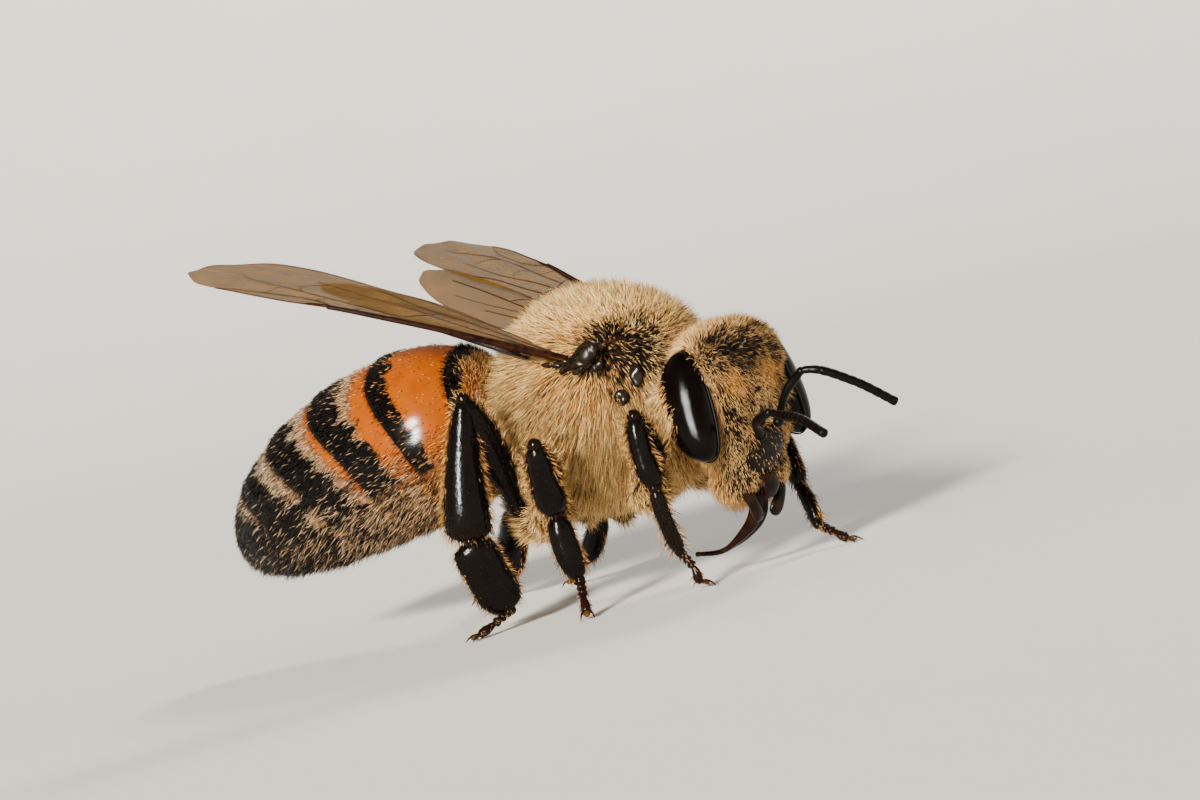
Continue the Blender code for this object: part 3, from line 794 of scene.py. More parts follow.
def materials(bee):
    """All the bee's materials by name, made once."""
    if not MATERIALS:
        c = bee.colours
        MATERIALS.update({
            "skin": skin_material(c), "coat": coat_material(), "tergite": tergite_material(c),
            "eye": eye_material(c), "film": film_material(c), "leg": leg_material(c)})
        for look, (name, dark, light, *finish) in SHELLS.items():
            MATERIALS[look] = shell_material(name, getattr(c, dark), getattr(c, light), *finish)
    return MATERIALS


# --- head and thorax ---

HEAD_TIP = math.radians(6.0)  # the head leans forward by this
EYE_IN_HEAD = (-0.04, 0.22)  # how far the eyes' middle lies ahead of and over the head's
WING_BASE = np.array((0.95, 1.95, 5.3))
SHOULDER_PATCH = np.array((2.16, 1.42, 5.42))  # the dark patch in front of a wing's base
SHOULDER_SIZE = np.array((1.08, 0.68, 0.82))
# Bare shell plates between wing base and head: middle, then half sizes.
PRONOTUM = (((1.94, 1.48, 4.74), (0.15, 0.1, 0.27)), ((1.58, 1.68, 4.34), (0.18, 0.1, 0.18)))


class Head:
    """The head's own axes, from its two eyes: ahead, to its left and up."""

    def __init__(self):
        left, right = (ball_of(f"eye_{side}")[0] for side in ("left", "right"))
        self.side = unit(left - right)
        level = unit(np.cross(self.side, UP))
        self.front = level * math.cos(HEAD_TIP) - UP * math.sin(HEAD_TIP)
        self.top = np.cross(self.front, self.side)
        self.axes = np.array((self.front, self.side, self.top))
        self.centre = ((left + right) / 2 - self.front * EYE_IN_HEAD[0] - self.top * EYE_IN_HEAD[1])

    def into(self, points):
        return (points - self.centre) @ self.axes.T

    def out(self, points):
        return self.centre + np.asarray(points, float) @ self.axes


EYE_DEPTH = 0.3  # how far inward from its middle an eye is kept
RIM_SINK = 0.1  # how far inward from an eye's middle its rim lies
RIM_SIZE = (0.02, 0.035)  # half thickness of the rim, outward and along
RIM_STEPS, RIM_SIDES = 120, 8  # points along the rim and round it


class Eye:
    """One eye's own axes, its long one first, and how far its ends bow forward."""

    def __init__(self, side):
        points = node_mesh(f"eye_{side}")[0]
        self.centre, self.axes, self.half = ball_of(f"eye_{side}")
        if self.axes[0] @ HEAD.top < 0:
            self.axes = self.axes * np.array(((-1.0,), (-1.0,), (1.0,)))
        along, ahead, _ = ((points - self.centre) @ self.axes.T).T
        self.bow, _, off = np.polyfit(along / self.half[0], ahead, 2)
        self.centre = self.centre + self.axes[1] * off
        self.half[1] = np.abs(self.into(points)[:, 1]).max()

    def into(self, points):
        """Points in the eye's axes, with its bow taken out."""
        local = (points - self.centre) @ self.axes.T
        local[:, 1] -= self.bow * (local[:, 0] / self.half[0]) ** 2
        return local

    def out(self, local):
        bowed = np.array(local, float)
        bowed[:, 1] += self.bow * (bowed[:, 0] / self.half[0]) ** 2
        return self.centre + bowed @ self.axes


HEAD = Head()
EYES = {side: Eye(side) for side, _ in SIDES}


def eye_reach(points):
    """How far points lie from the nearer eye, 1 on its surface, and that eye's centre."""
    reach, centres = [], []
    for eye in EYES.values():
        reach.append(np.linalg.norm(eye.into(points) / eye.half, axis=1))
        centres.append(np.broadcast_to(eye.centre, points.shape))
    nearer = (reach[1] < reach[0])[:, None]
    return np.minimum(*reach), np.where(nearer, centres[1], centres[0])


def wobble(points, scale, seed):
    """A smooth irregular pattern from about -1 to 1."""
    rng = np.random.default_rng(seed)
    total = np.zeros(len(points))
    for _ in range(7):
        way = unit(rng.normal(size=3)) * (0.7 + 0.8 * rng.random()) / scale * math.tau
        total += np.sin(points @ way + rng.random() * math.tau)
    return total / 3.0


def speckle(points, scale, seed):
    """The same pattern from about 0 to 1."""
    return 0.5 + 0.5 * wobble(points, scale, seed)


def ball(centre, half, rows=18, sides=24, axes=np.eye(3)):
    """A closed ellipsoid; axes are rows and the first is its pole."""
    turn = np.linspace(0.04, math.pi - 0.04, rows)
    angle = np.arange(sides) / sides * math.tau
    local = np.stack(np.broadcast_arrays(
        np.cos(turn)[:, None], np.sin(turn)[:, None] * np.cos(angle),
        np.sin(turn)[:, None] * np.sin(angle)), -1) * np.asarray(half)
    return closed_loft(np.asarray(centre) + local @ np.asarray(axes))


NECK = ((2.75, -0.1, 4.05), (1.9, 0.0, 4.25))  # its path goes on from the head's back
NECK_SIZES = ((0.0, 2.2, 2.4), (0.5, 1.7, 1.9), (1.0, 2.8, 3.0))
CHEEK, CHEEK_SIZE = (0.15, 0.48, -1.45), (0.5, 0.42, 0.5)  # in the head's axes, the left one
EYE_BED = 0.12  # how much smaller than the eye the skin under it is


def body_skin(bee):
    """One skin over thorax, neck and head, inside their outline by the coat's depth."""
    shape = Shape()
    sources = {}
    for name, depth in (("thorax", bee.body.thorax_depth), ("head", bee.body.head_depth)):
        points, faces = node_mesh(name)
        sources[name] = BVHTree.FromPolygons(points.tolist(), faces)
        centre, half = (points.max(0) + points.min(0)) / 2, np.ptp(points, axis=0) / 2
        shape.add(centre + (points - centre) * (1.0 - depth / MM / half), faces)
    for eye in EYES.values():
        local, faces = ball((0.0, 0.0, 0.0), eye.half - EYE_BED)
        shape.add(eye.out(local), faces)
    back = HEAD.out((-0.25, 0.0, 0.1))
    add_tube(shape, smooth_path((back, *NECK), 8), curve(NECK_SIZES, shares(8)), UP, 18)
    for _, hand in SIDES:
        shape.add(*ball(HEAD.out(np.array(CHEEK) * (1.0, hand, 1.0)), CHEEK_SIZE))
    mesh = evaluated(shape.mesh("body_skin"),
                     ("REMESH", {"mode": "VOXEL", "voxel_size": bee.body.skin_cell / MM}),
                     ("SMOOTH", {"factor": 0.5, "iterations": 10}))
    points, normals = points_of(mesh), normals_of(mesh)
    near = {name: np.array([tree.find_nearest(point)[3] for point in points.tolist()])
            for name, tree in sources.items()}
    head = step(-0.25, 0.15, near["thorax"] - near["head"])
    points += normals * head_relief(points)[:, None] * (head > 0.5)[:, None]
    set_points(mesh, points)
    for label, values in body_values(points, normals_of(mesh), head).items():
        keep_values(mesh, label, values)
    return mesh


def head_relief(points):
    """The raised shield over the mouth, its groove and the feelers' pits."""
    ahead, aside, up = HEAD.into(points).T
    shield = np.hypot(aside / 0.62, (up + 0.85) / 0.62)
    facing = step(0.2, 0.5, ahead)
    raised = 0.07 * step(1.0, 0.6, shield) - 0.03 * hill(shield, 1.12, 0.14)
    pits = -0.1 * hill(np.hypot(np.abs(aside) - 0.34, up + 0.12), 0.0, 0.17)
    return facing * (raised + pits)


def flow(normals, way):
    """The part of a direction that runs along the surface."""
    way = np.broadcast_to(np.asarray(way, float), normals.shape)
    return way - normals * np.sum(way * normals, axis=1, keepdims=True)


def body_values(points, normals, head):
    """Density, length, lie, bend and colour of the coat over thorax and head."""
    thorax = thorax_values(points, normals)
    face = head_values(points, normals)
    mixed = {label: mix(thorax[label], face[label], head) for label in thorax}
    mixed["lie"] = unit(mixed["lie"])
    mixed["head"], mixed["shade"] = head, 0.45 + 0.5 * head
    return mixed


def thorax_values(points, normals):
    hand = np.where(points[:, 1] < 0, -1.0, 1.0)
    base = WING_BASE * np.stack((np.ones_like(hand), hand, np.ones_like(hand)), -1)
    from_base = points - base
    far = np.linalg.norm(from_base, axis=1)
    flank = step(0.25, 0.85, np.abs(normals[:, 1])) * step(0.75, 0.3, normals[:, 2])
    below = step(-0.1, -0.7, normals[:, 2])
    front = step(1.4, 2.6, points[:, 0])
    comb = unit(np.array((-0.5, 0.0, -0.85)) + unit(from_base) * 0.9)
    lie = (normals * (1.0 - 0.4 * flank)[:, None]
           + flow(normals, comb) * (0.7 * flank + 0.25 * below)[:, None]
           + np.outer((1 - flank) * (1 - below) * (1 - front), (-0.28, 0.0, 0.0))
           + np.outer(front * (1 - flank), (0.05, 0.0, 0.25)))
    fall = flow(normals, comb) * (0.38 * flank + 0.15)[:, None] - normals * 0.08
    bald = hill(far, 0.0, 0.55)
    spots = speckle(points, 0.7, 3)
    mirrored = np.where((False, True, False), np.abs(points), points)
    patch_far = np.linalg.norm((mirrored - SHOULDER_PATCH) / SHOULDER_SIZE, axis=1)
    patch = step(1.3, 0.65, patch_far + 0.35 * (spots - 0.5))
    for spot, size in PRONOTUM:
        bald_here = step(size[0] * 1.05, size[0] * 0.7, np.linalg.norm(mirrored - np.array(spot), axis=1))
        bald = np.maximum(bald, bald_here)
    return {
        "grow": np.clip(1.0 - 0.4 * patch - 0.85 * bald, 0.05, 1.0),
        "reach": (0.5 + 0.1 * step(-0.6, -1.6, points[:, 0]) - 0.06 * flank
                  + 0.04 * below) * (1.0 - 0.5 * patch) * (1.0 - 0.45 * bald),
        "lie": unit(lie), "fall": fall,
        "dark": limit(0.78 * patch + 0.05 * spots + 0.15 * bald
                      + 0.1 * flank * step(0.55, 0.9, spots)),
        "warm": limit(0.1 + 0.16 * flank * spots + 0.35 * hill(far, 0.75, 0.4) + 0.1 * below),
        "chart": np.column_stack((points[:, 2] - 4.3, points[:, 1],
                                  limit((points[:, 0] + 2.0) / 5.2))),
    }


def head_values(points, normals):
    ahead, aside, up = HEAD.into(points).T
    wide = np.abs(aside)
    reach, centre = eye_reach(points)
    spots = speckle(points, 0.32, 5)
    ragged = spots - 0.5
    facing = step(0.05, 0.45, normals @ HEAD.front + 0.1 * ragged)
    crown = step(0.75, 1.15, up + 0.5 * ragged)
    vertex = (crown * step(-0.05, 0.45, ahead + 0.5 * ragged)
              * step(1.4, 0.95, wide + 0.4 * ragged))
    face = facing * (1.0 - crown)
    behind = 1.0 - np.maximum(facing, crown)
    # rim is a ring of paler, denser hair round each eye: partly the real pale fringe, partly a painted
    # highlight along the eye's margin.
    rim = hill(reach, 1.09, 0.07)
    shield = step(1.2, 0.75, np.hypot(aside / 0.64, (up + 1.0) / 0.56) + 0.3 * ragged) * facing
    frons = hill(up, 0.62, 0.34) * hill(wide, 0.62, 0.42) * face
    mask = hill(up, 0.0, 0.42) * hill(wide, 0.92, 0.26) * face
    gena = hill(np.hypot(ahead - 0.15, up + 1.45), 0.0, 0.3) * step(0.5, 0.9, wide)
    collar = step(-0.35, -0.75, ahead) * step(1.3, 0.9, wide)
    chin = step(-1.35, -1.75, up) * behind
    down = -HEAD.top
    lie = (normals * (0.85 - 0.25 * face)[:, None]
           + flow(normals, down) * (0.55 * face + 0.35 * chin)[:, None]
           + flow(normals, unit(points - centre)) * (0.75 * behind)[:, None]
           + flow(normals, down - HEAD.front * 0.5) * (0.4 * behind)[:, None])
    return {
        "grow": step(1.01, 1.04, reach) * (1.0 - 0.25 * face + 0.3 * frons)
                * (1.0 - 0.88 * shield) * (1.0 - 0.6 * mask) * (1.0 - 0.8 * gena)
                * (1.0 - 0.8 * collar) * (1.0 + 1.2 * rim),
        "reach": 0.1 + 0.2 * behind + 0.15 * crown + 0.06 * chin + 0.02 * frons
                 - 0.03 * shield,
        "lie": unit(lie),
        "fall": flow(normals, down) * 0.3,
        "dark": limit(0.85 * vertex + 0.5 * face * spots + 0.25 * shield + 0.35 * mask
                      - 0.6 * rim - 0.3 * frons),
        "warm": limit(0.1 + 0.75 * frons + 0.35 * behind - 0.6 * rim),
        "chart": np.column_stack((ahead, aside, limit((up + 2.0) / 4.0))),
    }


def eye_mesh(bee, side, hand):
    """One eye: rows of six-sided facets over a bowed ellipsoid, its inner half left off."""
    eye = EYES[side]
    mesh = evaluated(bpy.data.meshes.new("eye"), ("NODES", {
        "node_group": facet_tree(), "Fineness": bee.body.facet_rows,
        "Half size": (eye.half - bee.body.eye_inset / MM).tolist(),
        "Dome": bee.body.facet_dome / MM, "Material": materials(bee)["eye"]}))
    set_points(mesh, eye.out(points_of(mesh)))
    shape = bmesh.new()
    shape.from_mesh(mesh)
    inward = HEAD.side * -hand
    away = [face for face in shape.faces
            if (np.array(face.calc_center_median()) - eye.centre) @ inward > EYE_DEPTH]
    bmesh.ops.delete(shape, geom=away, context="FACES")
    bmesh.ops.recalc_face_normals(shape, faces=shape.faces)
    shape.to_mesh(mesh)
    shape.free()
    return mesh


def eye_rim_mesh(side, hand):
    """The narrow raised rim where an eye meets the head."""
    eye = EYES[side]
    around = np.linspace(0.0, math.tau, RIM_STEPS + 1)[:-1]
    sunk = math.copysign(RIM_SINK, eye.axes[2] @ HEAD.side * -hand)
    wide = math.sqrt(1.0 - (RIM_SINK / eye.half[2]) ** 2) * 1.02
    ring = []
    for turn in np.arange(RIM_SIDES) / RIM_SIDES * math.tau:
        out, up = math.cos(turn) * RIM_SIZE[0], math.sin(turn) * RIM_SIZE[1]
        ring.append(eye.out(np.column_stack((
            (eye.half[0] * wide + out) * np.cos(around),
            (eye.half[1] * wide + out) * np.sin(around), np.full(RIM_STEPS, sunk + up)))))
    faces = grid_faces(RIM_STEPS, RIM_SIDES, True)
    last = (RIM_STEPS - 1) * RIM_SIDES
    for here in range(RIM_SIDES):
        following = (here + 1) % RIM_SIDES
        faces.append([last + here, last + following, following, here])
    return Shape().add(np.stack(ring, 1).reshape(-1, 3), faces).mesh(f"eye_rim_{side}")


# --- abdomen ---

WAIST_HALF_LENGTH = 0.34
ABDOMEN_LENGTH = 7.66
ABDOMEN_DROOP = math.radians(32.0)
ABDOMEN_HALF = 2.12
ABDOMEN_WIDEST = 0.3
ABDOMEN_BLUNTNESS = 2.6
ABDOMEN_TAPER = 2.2
RING_EDGES = (0.0, 0.085, 0.31, 0.512, 0.685, 0.835, 1.0)
RING_STEP = 0.035
RING_CURL = 0.11  # how far the rings' edges run forward on the flanks
BACK_WRAP = 0.66  # how far the back plates reach round, as a share of half a turn
BELLY_WRAP = 0.58  # where the belly plates begin
BELLY_SINK = 0.06  # how much deeper the belly plates lie than the back ones
GROWTH_ROWS = 26  # points along each ring of the surface that the coat grows on


def waist_point():
    low, high = corners_of(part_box("petiole"))
    return np.array((low[0] + WAIST_HALF_LENGTH, 0.0, (low[2] + high[2]) / 2))


def abdomen_line(share):
    """Centre, course and upward way of the abdomen's arc at shares of its length."""
    angle = ABDOMEN_DROOP * share
    radius = ABDOMEN_LENGTH / ABDOMEN_DROOP
    flat = np.zeros_like(angle)
    centre = waist_point() + np.stack((-np.sin(angle), flat, np.cos(angle) - 1), -1) * radius
    course = np.stack((-np.cos(angle), flat, -np.sin(angle)), -1)
    top = np.stack((-np.sin(angle), flat, np.cos(angle)), -1)
    return centre, course, top


def abdomen_fullness(share):
    early = limit(1.0 - share / ABDOMEN_WIDEST)
    late = limit((share - ABDOMEN_WIDEST) / (1.0 - ABDOMEN_WIDEST))
    return np.where(share < ABDOMEN_WIDEST,
                    np.maximum(1.0 - early**ABDOMEN_BLUNTNESS, 0.0) ** (1 / ABDOMEN_BLUNTNESS),
                    np.sqrt(np.maximum(1.0 - late**ABDOMEN_TAPER, 0.0)))


def abdomen_grid(share, turn, size):
    """Points over the abdomen; turn runs from -1 to 1 round it, 0 at the top."""
    share, turn, size = np.broadcast_arrays(share[:, None], turn, size[:, None])
    share = share - RING_CURL * step(0.2, 0.62, np.abs(turn)) * np.sin(share * math.pi)
    centre, course, top = abdomen_line(share)
    side = np.array((0.0, 1.0, 0.0))
    angle = (turn * math.pi)[..., None]
    full = (abdomen_fullness(share) * size)[..., None]
    return centre + full * (top * np.cos(angle) + side * np.sin(angle)), course


# For each ring: where its black band begins, how warm its shell is, how much of it
# shines bare, how golden its hair is, how long, and how dark its flank is.
RINGS = {
    1: (0.55, 0.9, 0.0, 0.8, 0.22, 0.1), 2: (0.69, 1.0, 0.73, 0.85, 0.13, 0.2),
    3: (0.47, 1.0, 0.22, 0.22, 0.16, 0.28), 4: (0.39, 0.9, 0.08, 0.05, 0.17, 0.48),
    5: (0.36, 0.25, 0.0, 0.0, 0.18, 0.72), 6: (0.12, 0.1, 0.0, 0.05, 0.18, 1.0),
}


def band_values(number, place, turn, points):
    """Marking and coat of one ring at places along it, from 0 in front to 1 behind."""
    begins, warm, shine, gold, reach, dusk = RINGS[number]
    low = np.abs(turn)
    ragged = (0.05 if number == 2 else 0.09) * wobble(points, 0.45, 20 + number)
    flank, under = step(0.38, 0.54, low), step(0.56, 0.7, low)
    spots = speckle(points, 0.5, 40 + number)
    begins = begins + 0.06 * step(0.2, 0.0, low) - 0.08 * flank
    black = step(begins - 0.08, begins + 0.08, place + ragged)
    strength = 0.95 - (0.34 - 0.3 * dusk) * flank * spots - (0.5 - 0.48 * dusk) * under
    edge = shine * (1.0 + 0.8 * (number > 2) * step(0.25, 0.45, low))
    bare = step(edge + 0.12, edge - 0.08, place + 0.9 * ragged) * (shine > 0.0)
    bare = bare * (1.0 - black) * step(0.6, 0.47, low)
    warm = warm * (1.0 - 0.8 * (number > 2) * step(edge, edge + 0.12, place))
    dusky = dusk * (0.25 + 0.8 * flank * step(0.35, 0.75, spots) + 0.8 * under * spots)
    dark = black * strength + (1.0 - black) * dusky
    return {
        "dark": limit(dark), "warm": warm * (1.0 - 0.6 * under),
        "grow": ((1.0 + 0.25 * under + 0.8 * (number == 1)) * (1.0 - 0.95 * bare)
                 * (1.0 - 0.2 * black)),
        "reach": reach + 0.12 * under + 0.04 * flank,
        "upright": 0.3 + 0.3 * (number == 1) + 0.22 * under,
        "gold": limit(gold + 0.5 * bare + 0.28 * flank * (0.6 - gold) + 0.1 * under),
    }


def plate_grid(bee, number, turns, rows, lift):
    """One plate's outer points, faces and values, tucked under the plate in front of it."""
    start, end = RING_EDGES[number - 1], RING_EDGES[number]
    first = 0.02 if number == 1 else -0.16
    last = 0.998 if number == len(RING_EDGES) - 1 else 1.0
    place = np.linspace(first, last, rows)
    size = (ABDOMEN_HALF * (1.0 - RING_STEP * (1.0 - place))
            - bee.body.plate_depth / MM + lift
            + 0.5 * np.minimum(place, 0.0) - 0.035 * hill(place, 1.0, 0.025))
    points, course = abdomen_grid(start + (end - start) * place, turns, size)
    places = np.repeat(place, len(turns))
    round_it = np.tile(turns, rows)
    values = band_values(number, places, round_it, points.reshape(-1, 3))
    values["course"] = course.reshape(-1, 3)
    values["chart"] = np.column_stack((np.cos(round_it * math.pi), np.sin(round_it * math.pi),
                                       limit(start + (end - start) * places)))
    values["grow"] = values["grow"] * (places > 0.0)
    return points.reshape(-1, 3), grid_faces(rows, len(turns), False), values


def plate_mesh(bee, number, turns, rows, lift):
    """One plate of its full thickness, with the values that its shell shows."""
    mesh = Shape().add(*plate_grid(bee, number, turns, rows, lift)).mesh("plate", outward=False)
    face_out(mesh, abdomen_line(np.array([RING_EDGES[number]]))[0][0])
    drop_except(mesh, "dark", "warm")
    thickness = bee.body.plate_thickness / MM
    return evaluated(mesh, ("SOLIDIFY", {"thickness": thickness, "offset": -1.0}))


def face_out(mesh, centre):
    """Turn an open sheet so that its faces point away from a centre."""
    face = mesh.polygons[len(mesh.polygons) // 2]
    if np.dot(np.array(face.normal), np.array(face.center) - centre) < 0:
        mesh.flip_normals()


def lining_mesh(bee):
    """The dark body inside the plates, which closes the gaps between them."""
    share = np.concatenate(((0.012, 0.03, 0.06), np.linspace(0.1, 0.94, 24), (0.975, 0.99)))
    turns = np.arange(48) / 24.0 - 1.0
    size = np.full(len(share), ABDOMEN_HALF - bee.body.plate_depth / MM - 0.24)
    return Shape().add(*closed_loft(abdomen_grid(share, turns, size)[0])).mesh("lining")


def belly_turns(count):
    """Places round the belly, from one side under to the other."""
    turns = np.linspace(BELLY_WRAP, 2.0 - BELLY_WRAP, count)
    return np.where(turns > 1.0, turns - 2.0, turns)


# --- wings ---

# Root, tip and lean in degrees of each wing's film, in the bee's frame.
WINGS = {
    "forewing_right": ((0.7, -2.02, 5.4), (-6.35, -5.0, 8.92), 5.0),
    "hindwing_right": ((-0.2, -1.62, 5.36), (-5.05, -1.95, 8.09), 5.0),
    "forewing_left": ((0.7, 2.02, 5.5), (-5.3, 7.1, 8.38), -4.0),
    "hindwing_left": ((-0.1, 1.8, 5.4), (-4.85, 3.95, 7.92), -16.0),
}
# Share of the length, then the leading and trailing edge as shares of the chord.
FOREWING_EDGES = ((0.0, 0.03, -0.06), (0.06, 0.05, -0.12), (0.15, 0.065, -0.25), (0.3, 0.085, -0.48),
                  (0.45, 0.095, -0.66), (0.6, 0.1, -0.8), (0.72, 0.095, -0.87), (0.84, 0.055, -0.82),
                  (0.93, -0.03, -0.64), (0.98, -0.14, -0.45), (1.0, -0.25, -0.3))
HINDWING_EDGES = ((0.0, 0.03, -0.08), (0.08, 0.06, -0.3), (0.2, 0.09, -0.56),
                  (0.36, 0.12, -0.76), (0.55, 0.13, -0.84), (0.72, 0.11, -0.8),
                  (0.86, 0.05, -0.66), (0.95, -0.04, -0.5), (1.0, -0.22, -0.3))
# Veins: thickness in millimetres, then points as length share and chord share.
FOREWING_VEINS = (
    (0.085, ((0.0, 0.0), (0.12, 0.045), (0.3, 0.08), (0.5, 0.09), (0.62, 0.09))),
    (0.06, ((0.0, -0.04), (0.12, 0.0), (0.3, 0.05), (0.5, 0.065), (0.6, 0.075))),
    (0.046, ((0.595, 0.08), (0.63, 0.062), (0.675, 0.085))),
    (0.024, ((0.62, 0.092), (0.74, 0.088), (0.84, 0.058), (0.91, 0.005))),
    (0.024, ((0.02, -0.035), (0.15, -0.08), (0.28, -0.15), (0.37, -0.21))),
    (0.022, ((0.03, -0.06), (0.15, -0.16), (0.27, -0.27), (0.36, -0.37), (0.47, -0.53), (0.55, -0.68))),
    (0.02, ((0.37, -0.21), (0.355, -0.29), (0.345, -0.355))),
    (0.02, ((0.37, -0.21), (0.41, -0.12), (0.445, -0.02), (0.47, 0.06))),
    (0.018, ((0.37, -0.21), (0.48, -0.34), (0.58, -0.47), (0.68, -0.56))),
    (0.018, ((0.61, 0.07), (0.635, -0.02), (0.68, -0.075), (0.78, -0.085), (0.87, -0.04), (0.91, 0.005))),
    (0.018, ((0.435, -0.05), (0.53, -0.11), (0.64, -0.16), (0.74, -0.24), (0.83, -0.37), (0.87, -0.48))),
    (0.016, ((0.555, 0.06), (0.545, -0.03), (0.54, -0.115))),
    (0.016, ((0.66, -0.06), (0.645, -0.11), (0.635, -0.155))),
    (0.016, ((0.79, -0.085), (0.775, -0.17), (0.755, -0.255))),
    (0.016, ((0.575, -0.13), (0.565, -0.24), (0.54, -0.33), (0.505, -0.37))),
    (0.016, ((0.7, -0.205), (0.715, -0.33), (0.69, -0.45), (0.645, -0.53))),
    (0.012, ((0.1, -0.18), (0.3, -0.475), (0.45, -0.65), (0.6, -0.79), (0.72, -0.86),
             (0.84, -0.81), (0.93, -0.63), (0.98, -0.44))),
)
HINDWING_VEINS = (
    (0.03, ((0.0, 0.01), (0.16, 0.07), (0.34, 0.115), (0.46, 0.125), (0.62, 0.115), (0.76, 0.085))),
    (0.024, ((0.01, -0.02), (0.15, -0.04), (0.3, -0.08), (0.46, -0.13), (0.66, -0.17), (0.84, -0.22))),
    (0.018, ((0.46, 0.12), (0.5, 0.02), (0.515, -0.06), (0.52, -0.145))),
    (0.018, ((0.02, -0.06), (0.14, -0.19), (0.26, -0.31), (0.38, -0.41), (0.52, -0.56))),
    (0.016, ((0.33, -0.09), (0.33, -0.2), (0.3, -0.345))),
    (0.014, ((0.33, -0.2), (0.46, -0.32), (0.6, -0.44), (0.72, -0.52))),
    (0.012, ((0.03, -0.14), (0.16, -0.48), (0.36, -0.75), (0.55, -0.83), (0.72, -0.79),
             (0.86, -0.65), (0.95, -0.49))),
)
FILM_LIFT = 0.1  # how far a hindwing's film lies over its plate's middle
WING_KINDS = {"forewing": (FOREWING_EDGES, FOREWING_VEINS),
              "hindwing": (HINDWING_EDGES, HINDWING_VEINS)}


def wing_place(name):
    """Root, length and the wing's own axes as rows: along it, leading way and normal."""
    root, tip, lean = WINGS[name]
    root, tip = np.array(root), np.array(tip)
    hand = math.copysign(1.0, root[1])
    along = unit(tip - root)
    leading = unit(np.array((0.0, hand, 0.0)) - along * along[1] * hand)
    normal = np.cross(along, leading)
    turn = np.array(Matrix.Rotation(math.radians(lean) * hand, 3, along.tolist()))
    axes = np.array((along, turn @ leading, turn @ normal))
    return root, np.linalg.norm(tip - root), axes


def wing_points(name, chord, camber, flat):
    """Points on the film from length shares and chord shares."""
    root, span, axes = wing_place(name)
    share, across = np.asarray(flat, float).T
    bulge = (np.sin(limit(share) * math.pi) * (0.8 + 0.2 * np.cos(across * 4.0))
             + 0.1 * np.sin(across * 19.0) * step(0.05, 0.4, share)
             + 0.06 * np.sin(share * 23.0 + across * 6.0) * share)
    over = np.sign(axes[2][2])
    lift = over * camber * bulge
    if name.startswith("hind"):
        lift = over * (FILM_LIFT + 0.3 * camber * bulge)
    local = np.column_stack((share * span, across * chord, lift))
    return root + local @ axes


def film_mesh(bee, name, chord, edges):
    """A wing's film between its leading and trailing edges."""
    rows, columns = 60, 26
    share = 0.5 - 0.5 * np.cos(np.linspace(0.0, math.pi, rows))
    lead, trail = curve(edges, share).T
    part = shares(columns)
    across = lead[:, None] + (trail - lead)[:, None] * part
    flat = np.column_stack((np.repeat(share, columns), across.ravel()))
    points = wing_points(name, chord, bee.wings.camber / MM, flat)
    shape = Shape().add(points, grid_faces(rows, columns, False))
    return evaluated(shape.mesh(name, outward=False),
                     ("SOLIDIFY", {"thickness": bee.wings.film / MM, "offset": 0.0}))


def vein_mesh(bee, name, chord, veins, tree):
    """Vein tubes lying in the film; each thins out towards its end."""
    points, links, widths, count = [], [], [], 0
    for thickness, path in veins:
        flat = smooth_path([(*point, 0.0) for point in path], 8 * len(path))[:, :2]
        line = wing_points(name, chord, bee.wings.camber / MM, flat)
        share = shares(len(line))
        outer = step(0.0, 1.0, flat[:, 0])
        points.append(line)
        widths.append(thickness * (1.0 - 0.25 * share) * (1.15 - 0.4 * outer) / 2)
        links += [(count + index, count + index + 1) for index in range(len(line) - 1)]
        count += len(line)
    mesh = bpy.data.meshes.new(name)
    mesh.from_pydata(np.concatenate(points).tolist(), links, [])
    keep_values(mesh, "width", np.concatenate(widths))
    mesh = evaluated(mesh, ("NODES", {
        "node_group": tree, "Sides": 6, "Thickness": bee.wings.vein,
        "Material": materials(bee)["vein"]}))
    drop_except(mesh)
    return mesh


# Plates at the left wings' roots: middle, then half length and half thickness.
HINGES = ((1.28, 1.9, 5.12, 0.17, 0.13), (1.1, 2.0, 5.24, 0.16, 0.12), (0.9, 2.02, 5.32, 0.2, 0.11),
          (0.66, 2.0, 5.38, 0.22, 0.1), (0.88, 1.92, 5.14, 0.2, 0.1), (0.58, 1.88, 5.24, 0.24, 0.09),
          (0.22, 1.78, 5.34, 0.28, 0.08))


def hinge_mesh(side, hand):
    """The small hard plates where a side's two wings join the thorax."""
    shape = Shape()
    out = np.array((0.0, hand, 0.0))
    for index, (x, y, z, half, thick) in enumerate(HINGES):
        centre = np.array((x, y * hand, z))
        lean = np.array(Matrix.Rotation(0.5 * math.sin(index * 2.4), 3, out.tolist()))
        axes = np.array(((1.0, 0.0, 0.25), (0.0, 1.0, 0.0), (-0.25, 0.0, 1.0))) @ lean
        points, faces = ball(centre, (half, thick, thick * 0.9), 10, 14, unit(axes))
        points += 0.3 * thick * wobble(points, 0.22, index)[:, None] * out
        shape.add(points, faces)
    return shape.mesh(f"wing_hinges_{side}")


def tegula_mesh(side, hand):
    """The scale over a forewing's root: a shallow shell with a turned rim."""
    low, high = corners_of(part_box(f"tegula_{side}"))
    centre, half = (low + high) / 2, (high - low) / 2
    axes = unit(np.array(((0.0, hand, 0.35), (1.0, 0.0, 0.15), (0.15, -0.3 * hand, 1.0))))
    wide, long = half[0] * 0.85, half[2] * 0.85
    points, faces = ball(centre, (0.17, wide, long), 16, 24, axes)
    local = (points - centre) @ axes.T
    rim = np.hypot(local[:, 1], local[:, 2]) / wide
    points += np.outer(0.05 * hill(rim, 0.92, 0.1) - 0.03 * hill(rim, 0.7, 0.1), axes[0])
    return Shape().add(points, faces).mesh(f"tegula_{side}")


# --- legs, feelers and mouth ---

SEGMENTS = ("coxa", "femur", "tibia", "basitarsus", "tarsus")
LEG_OUTWARD = (0.42, 0.9)  # forward and sideways parts of the way a flat segment faces
SEGMENT_SIDES, SEGMENT_SQUARENESS = 20, 2.05  # 2 would be round
